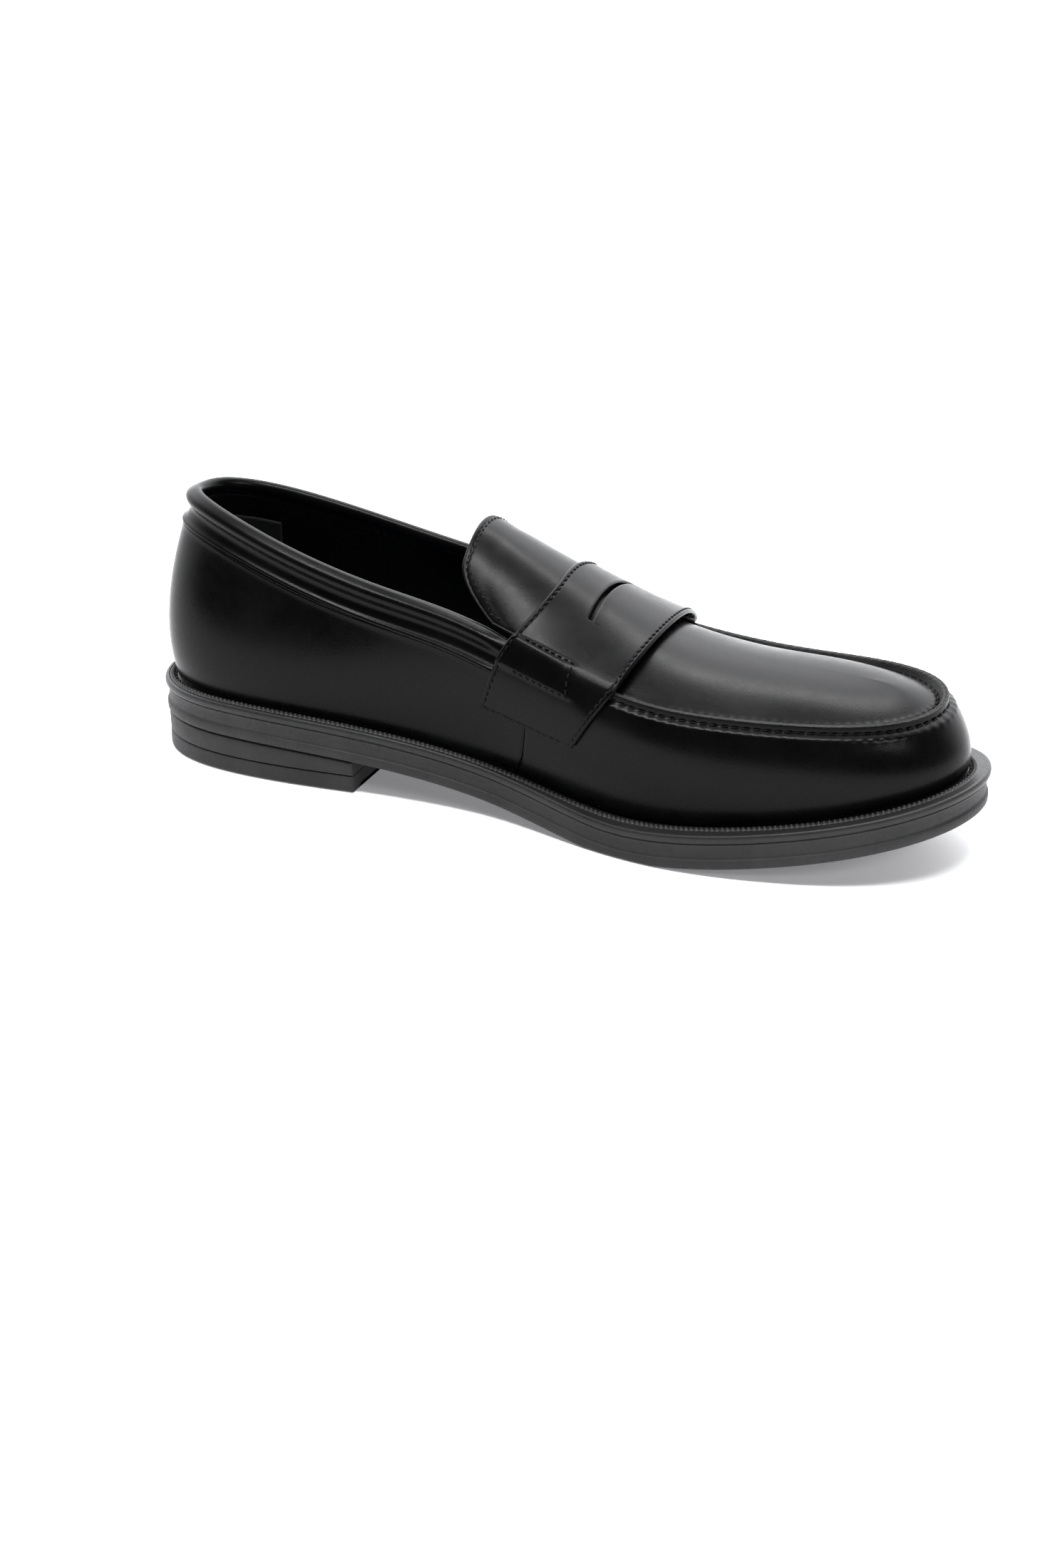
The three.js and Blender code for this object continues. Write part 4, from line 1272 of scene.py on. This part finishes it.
heel_plate("heel_block", [
    *edge_levels(above, [(-1.6, -SOLE - GAP), (-1.15, -SOLE - GAP - 0.1), (-0.95, -SOLE - GAP - 0.5)]),
    *edge_levels(level, [
        (-1.1, TOP_PIECE + 1.0), (-1.15, TOP_PIECE + GAP + 0.15), (-1.5, TOP_PIECE + GAP)]),
])
heel_plate("heel_top_piece", edge_levels(level, [
    (-1.6, TOP_PIECE), (-1.25, TOP_PIECE - 0.12), (-1.1, TOP_PIECE - 0.5), (-1.1, 1.0), (-1.3, 0.35),
    (-1.8, 0.06), (-2.4, 0), (-6.5, 0), (-7.2, 0.4), (-7.5, 1.2), (-8.5, 1.4),
]))
tread("heel_tread", 12, HEEL_BREAST - 9, level(0))


# ---- inside the shoe

INSOLE = 2.5
SOCK = 1
PAD = {"thick": 1.6, "front": 66, "fades": 74, "gone": 104}  # foam under the heel of the sock
INSOLE_FOOT = LEATHER + GAP


def sock_low(x):
    over_pad = (PAD["thick"] + GAP) * (1 - smooth(PAD["fades"], PAD["gone"], x))
    return sole_top(x) + INSOLE_FOOT + INSOLE + 2 * GAP + over_pad


def sock_high(extra):
    return lambda x: sock_low(x) + SOCK + extra


# The sock's edge turns up a little against the lining.
SOCK_EDGE = [
    *((distance, sock_high(extra)) for distance, extra in [
        (-9, 0), (-7, 0.1), (-5.8, 0.35), (-5.2, 0.5), (-4.95, 0.35), (-4.9, 0)]),
    (-4.95, sock_low), (-5.3, sock_low), (-8, sock_low),
]
piece("sock_liner_leather", plate(SOCK_EDGE, 7), SOCK_LEATHER,
      replaces=["sock_liner"], weld=0.01)


def heel_pad():
    """Foam pad: a crowned slab that ends in front of the heel seat."""
    u = np.roll(np.linspace(0, RING, 500, endpoint=False), 249)  # from the toe round the heel
    ring = flat_front(spline(FEATHER, u) - level_out(u) * 8, PAD["front"], 160, 40)
    floor_at = INSOLE_FOOT + INSOLE + GAP
    rows = []
    for k, lift in ((1, 0.15), (0.6, 0.1), (0.2, 0.05), (0.04, 0.05), (0, 0.35), (0, 0.7), (0.02, 1.1),
                    (0.06, 1.4), (0.15, 1.5), (0.4, 1.55), (0.7, 1.6), (1, 1.6)):
        p = lerp(ring, PAD_CENTRE, k)
        p[:, 2] = sole_top(p[:, 0]) + floor_at + lift
        rows.append(p)
    obj = piece("heel_pad_foam", skin_of(np.stack(rows, axis=1)), FOAM,
                replaces=["heel_pad"], weld=0.01)


heel_pad()

# The pieces that nothing shows keep their CAD shape and get a real material.
HIDDEN = {
    "heel_counter": BOARD, "toe_puff": BOARD, "insole_board": BOARD, "bottom_filler": CORK, "shank": STEEL,
    **{name: STEEL for name in frame["nodes"] if name.startswith("heel_nail")},
}
for name, material in HIDDEN.items():
    mesh = frame["nodes"][name].data
    mesh.materials.clear()
    mesh.materials.append(material)

# ---- studio


BACKDROP = (-0.385, 0.923, 0.0)  # the way the bright backdrop stands, seen from the shoe
FLOOR = -0.0001  # its height in metres, just clear of the faces that stand on it
FLOOR_HALF = 8.0


def towards_backdrop(tree, coords):
    dot = add(tree, "VectorMath")
    dot.operation = "DOT_PRODUCT"
    plug(tree, dot.inputs[0], coords)
    plug(tree, dot.inputs[1], BACKDROP)
    return dot.outputs["Value"]


def floor():
    """White paper round the shoe that ends in front of it, where a dark room begins: the floor there is
    painted near black, painted shade for the unlit room, and the paper glows a little, painted light that
    lifts the shadows under the shoe.
    """
    material, tree, _ = new_material("studio_floor")
    place = towards_backdrop(tree, add(tree, "NewGeometry").outputs["Position"])
    # Painted light and shade: the paper glows with a faint cool tint, which lifts the shadows under the shoe,
    # and the floor beyond it is painted near black as the shade of an unlit room.
    glow_and_shade_mask = ranged(tree, place, 0.0, 1.0, start=-0.6, end=-0.45)
    finish(
        material, Base_Color=colour_mix(tree, glow_and_shade_mask, (0.03, 0.03, 0.03), (0.86, 0.86, 0.865)),
        Roughness=0.6, Specular_IOR_Level=0.2, Emission_Color=(0.97, 0.96, 1, 1),
        Emission_Strength=combined(tree, "MULTIPLY", glow_and_shade_mask, 0.2))
    corners = [(-1, -1), (1, -1), (1, 1), (-1, 1)]
    mesh = bpy.data.meshes.new("studio_floor")
    mesh.from_pydata([(x * FLOOR_HALF, y * FLOOR_HALF, FLOOR) for x, y in corners], [], [(0, 1, 2, 3)])
    mesh.materials.append(material)
    obj = bpy.data.objects.new("studio_floor", mesh)
    bpy.context.scene.collection.objects.link(obj)


def softbox(name, place, target, size, power):
    data = bpy.data.lights.new(name, "AREA")
    data.shape = "RECTANGLE"
    data.size, data.size_y = size
    data.energy = power
    obj = bpy.data.objects.new(name, data)
    obj.location = place
    obj.rotation_euler = (Vector(target) - Vector(place)).to_track_quat("-Z", "Y").to_euler()
    bpy.context.scene.collection.objects.link(obj)


def world():
    """A dark room on the near side and a bright backdrop and ceiling on the far side."""
    made = bpy.data.worlds.new("studio")
    bpy.context.scene.world = made
    made.use_nodes = True
    tree = made.node_tree
    coords = add(tree, "TexCoord").outputs["Generated"]
    far = towards_backdrop(tree, coords)
    upward = add(tree, "SeparateXYZ", Vector=coords).outputs["Z"]
    back = ranged(tree, far, 0.0, 2.9, start=-0.05, end=0.5)
    ceiling = ranged(tree, upward, 0.0, 1.5, start=0.86, end=0.99)
    high = ranged(tree, upward, 0.0, 2.7, start=0.3, end=0.6)
    behind = ranged(tree, far, 0.0, 1.0, start=0.2, end=0.6)
    back = combined(tree, "ADD", back, combined(tree, "MULTIPLY", high, behind))
    strength = combined(tree, "ADD", combined(tree, "MAXIMUM", back, ceiling), 0.02)
    wire(tree, tree.nodes["Background"], Color=(0.97, 0.98, 1, 1), Strength=strength)


floor()
world()
softbox("overhead_strip", (0.05, -0.38, 1.5), (0, 0, 0), (1.1, 0.2), 26)
softbox("rear_strip", (-0.15, 0.72, 1.36), (0, 0, 0), (0.9, 0.2), 8)
softbox("toe_side", (1.3, -0.75, 0.95), (0.1, 0, 0), (0.5, 0.35), 6)

camera_data = bpy.data.cameras.new("camera")
camera_data.lens = 64.07
camera_data.sensor_width = 36
camera_data.clip_start = 0.02
camera = bpy.data.objects.new("camera", camera_data)
camera.location = (0.3285, -0.8256, 0.3991)
camera.rotation_euler = (math.radians(65.75), 0, math.radians(22.67))
bpy.context.scene.collection.objects.link(camera)
bpy.context.scene.camera = camera
bpy.context.scene.view_settings.view_transform = "Standard"
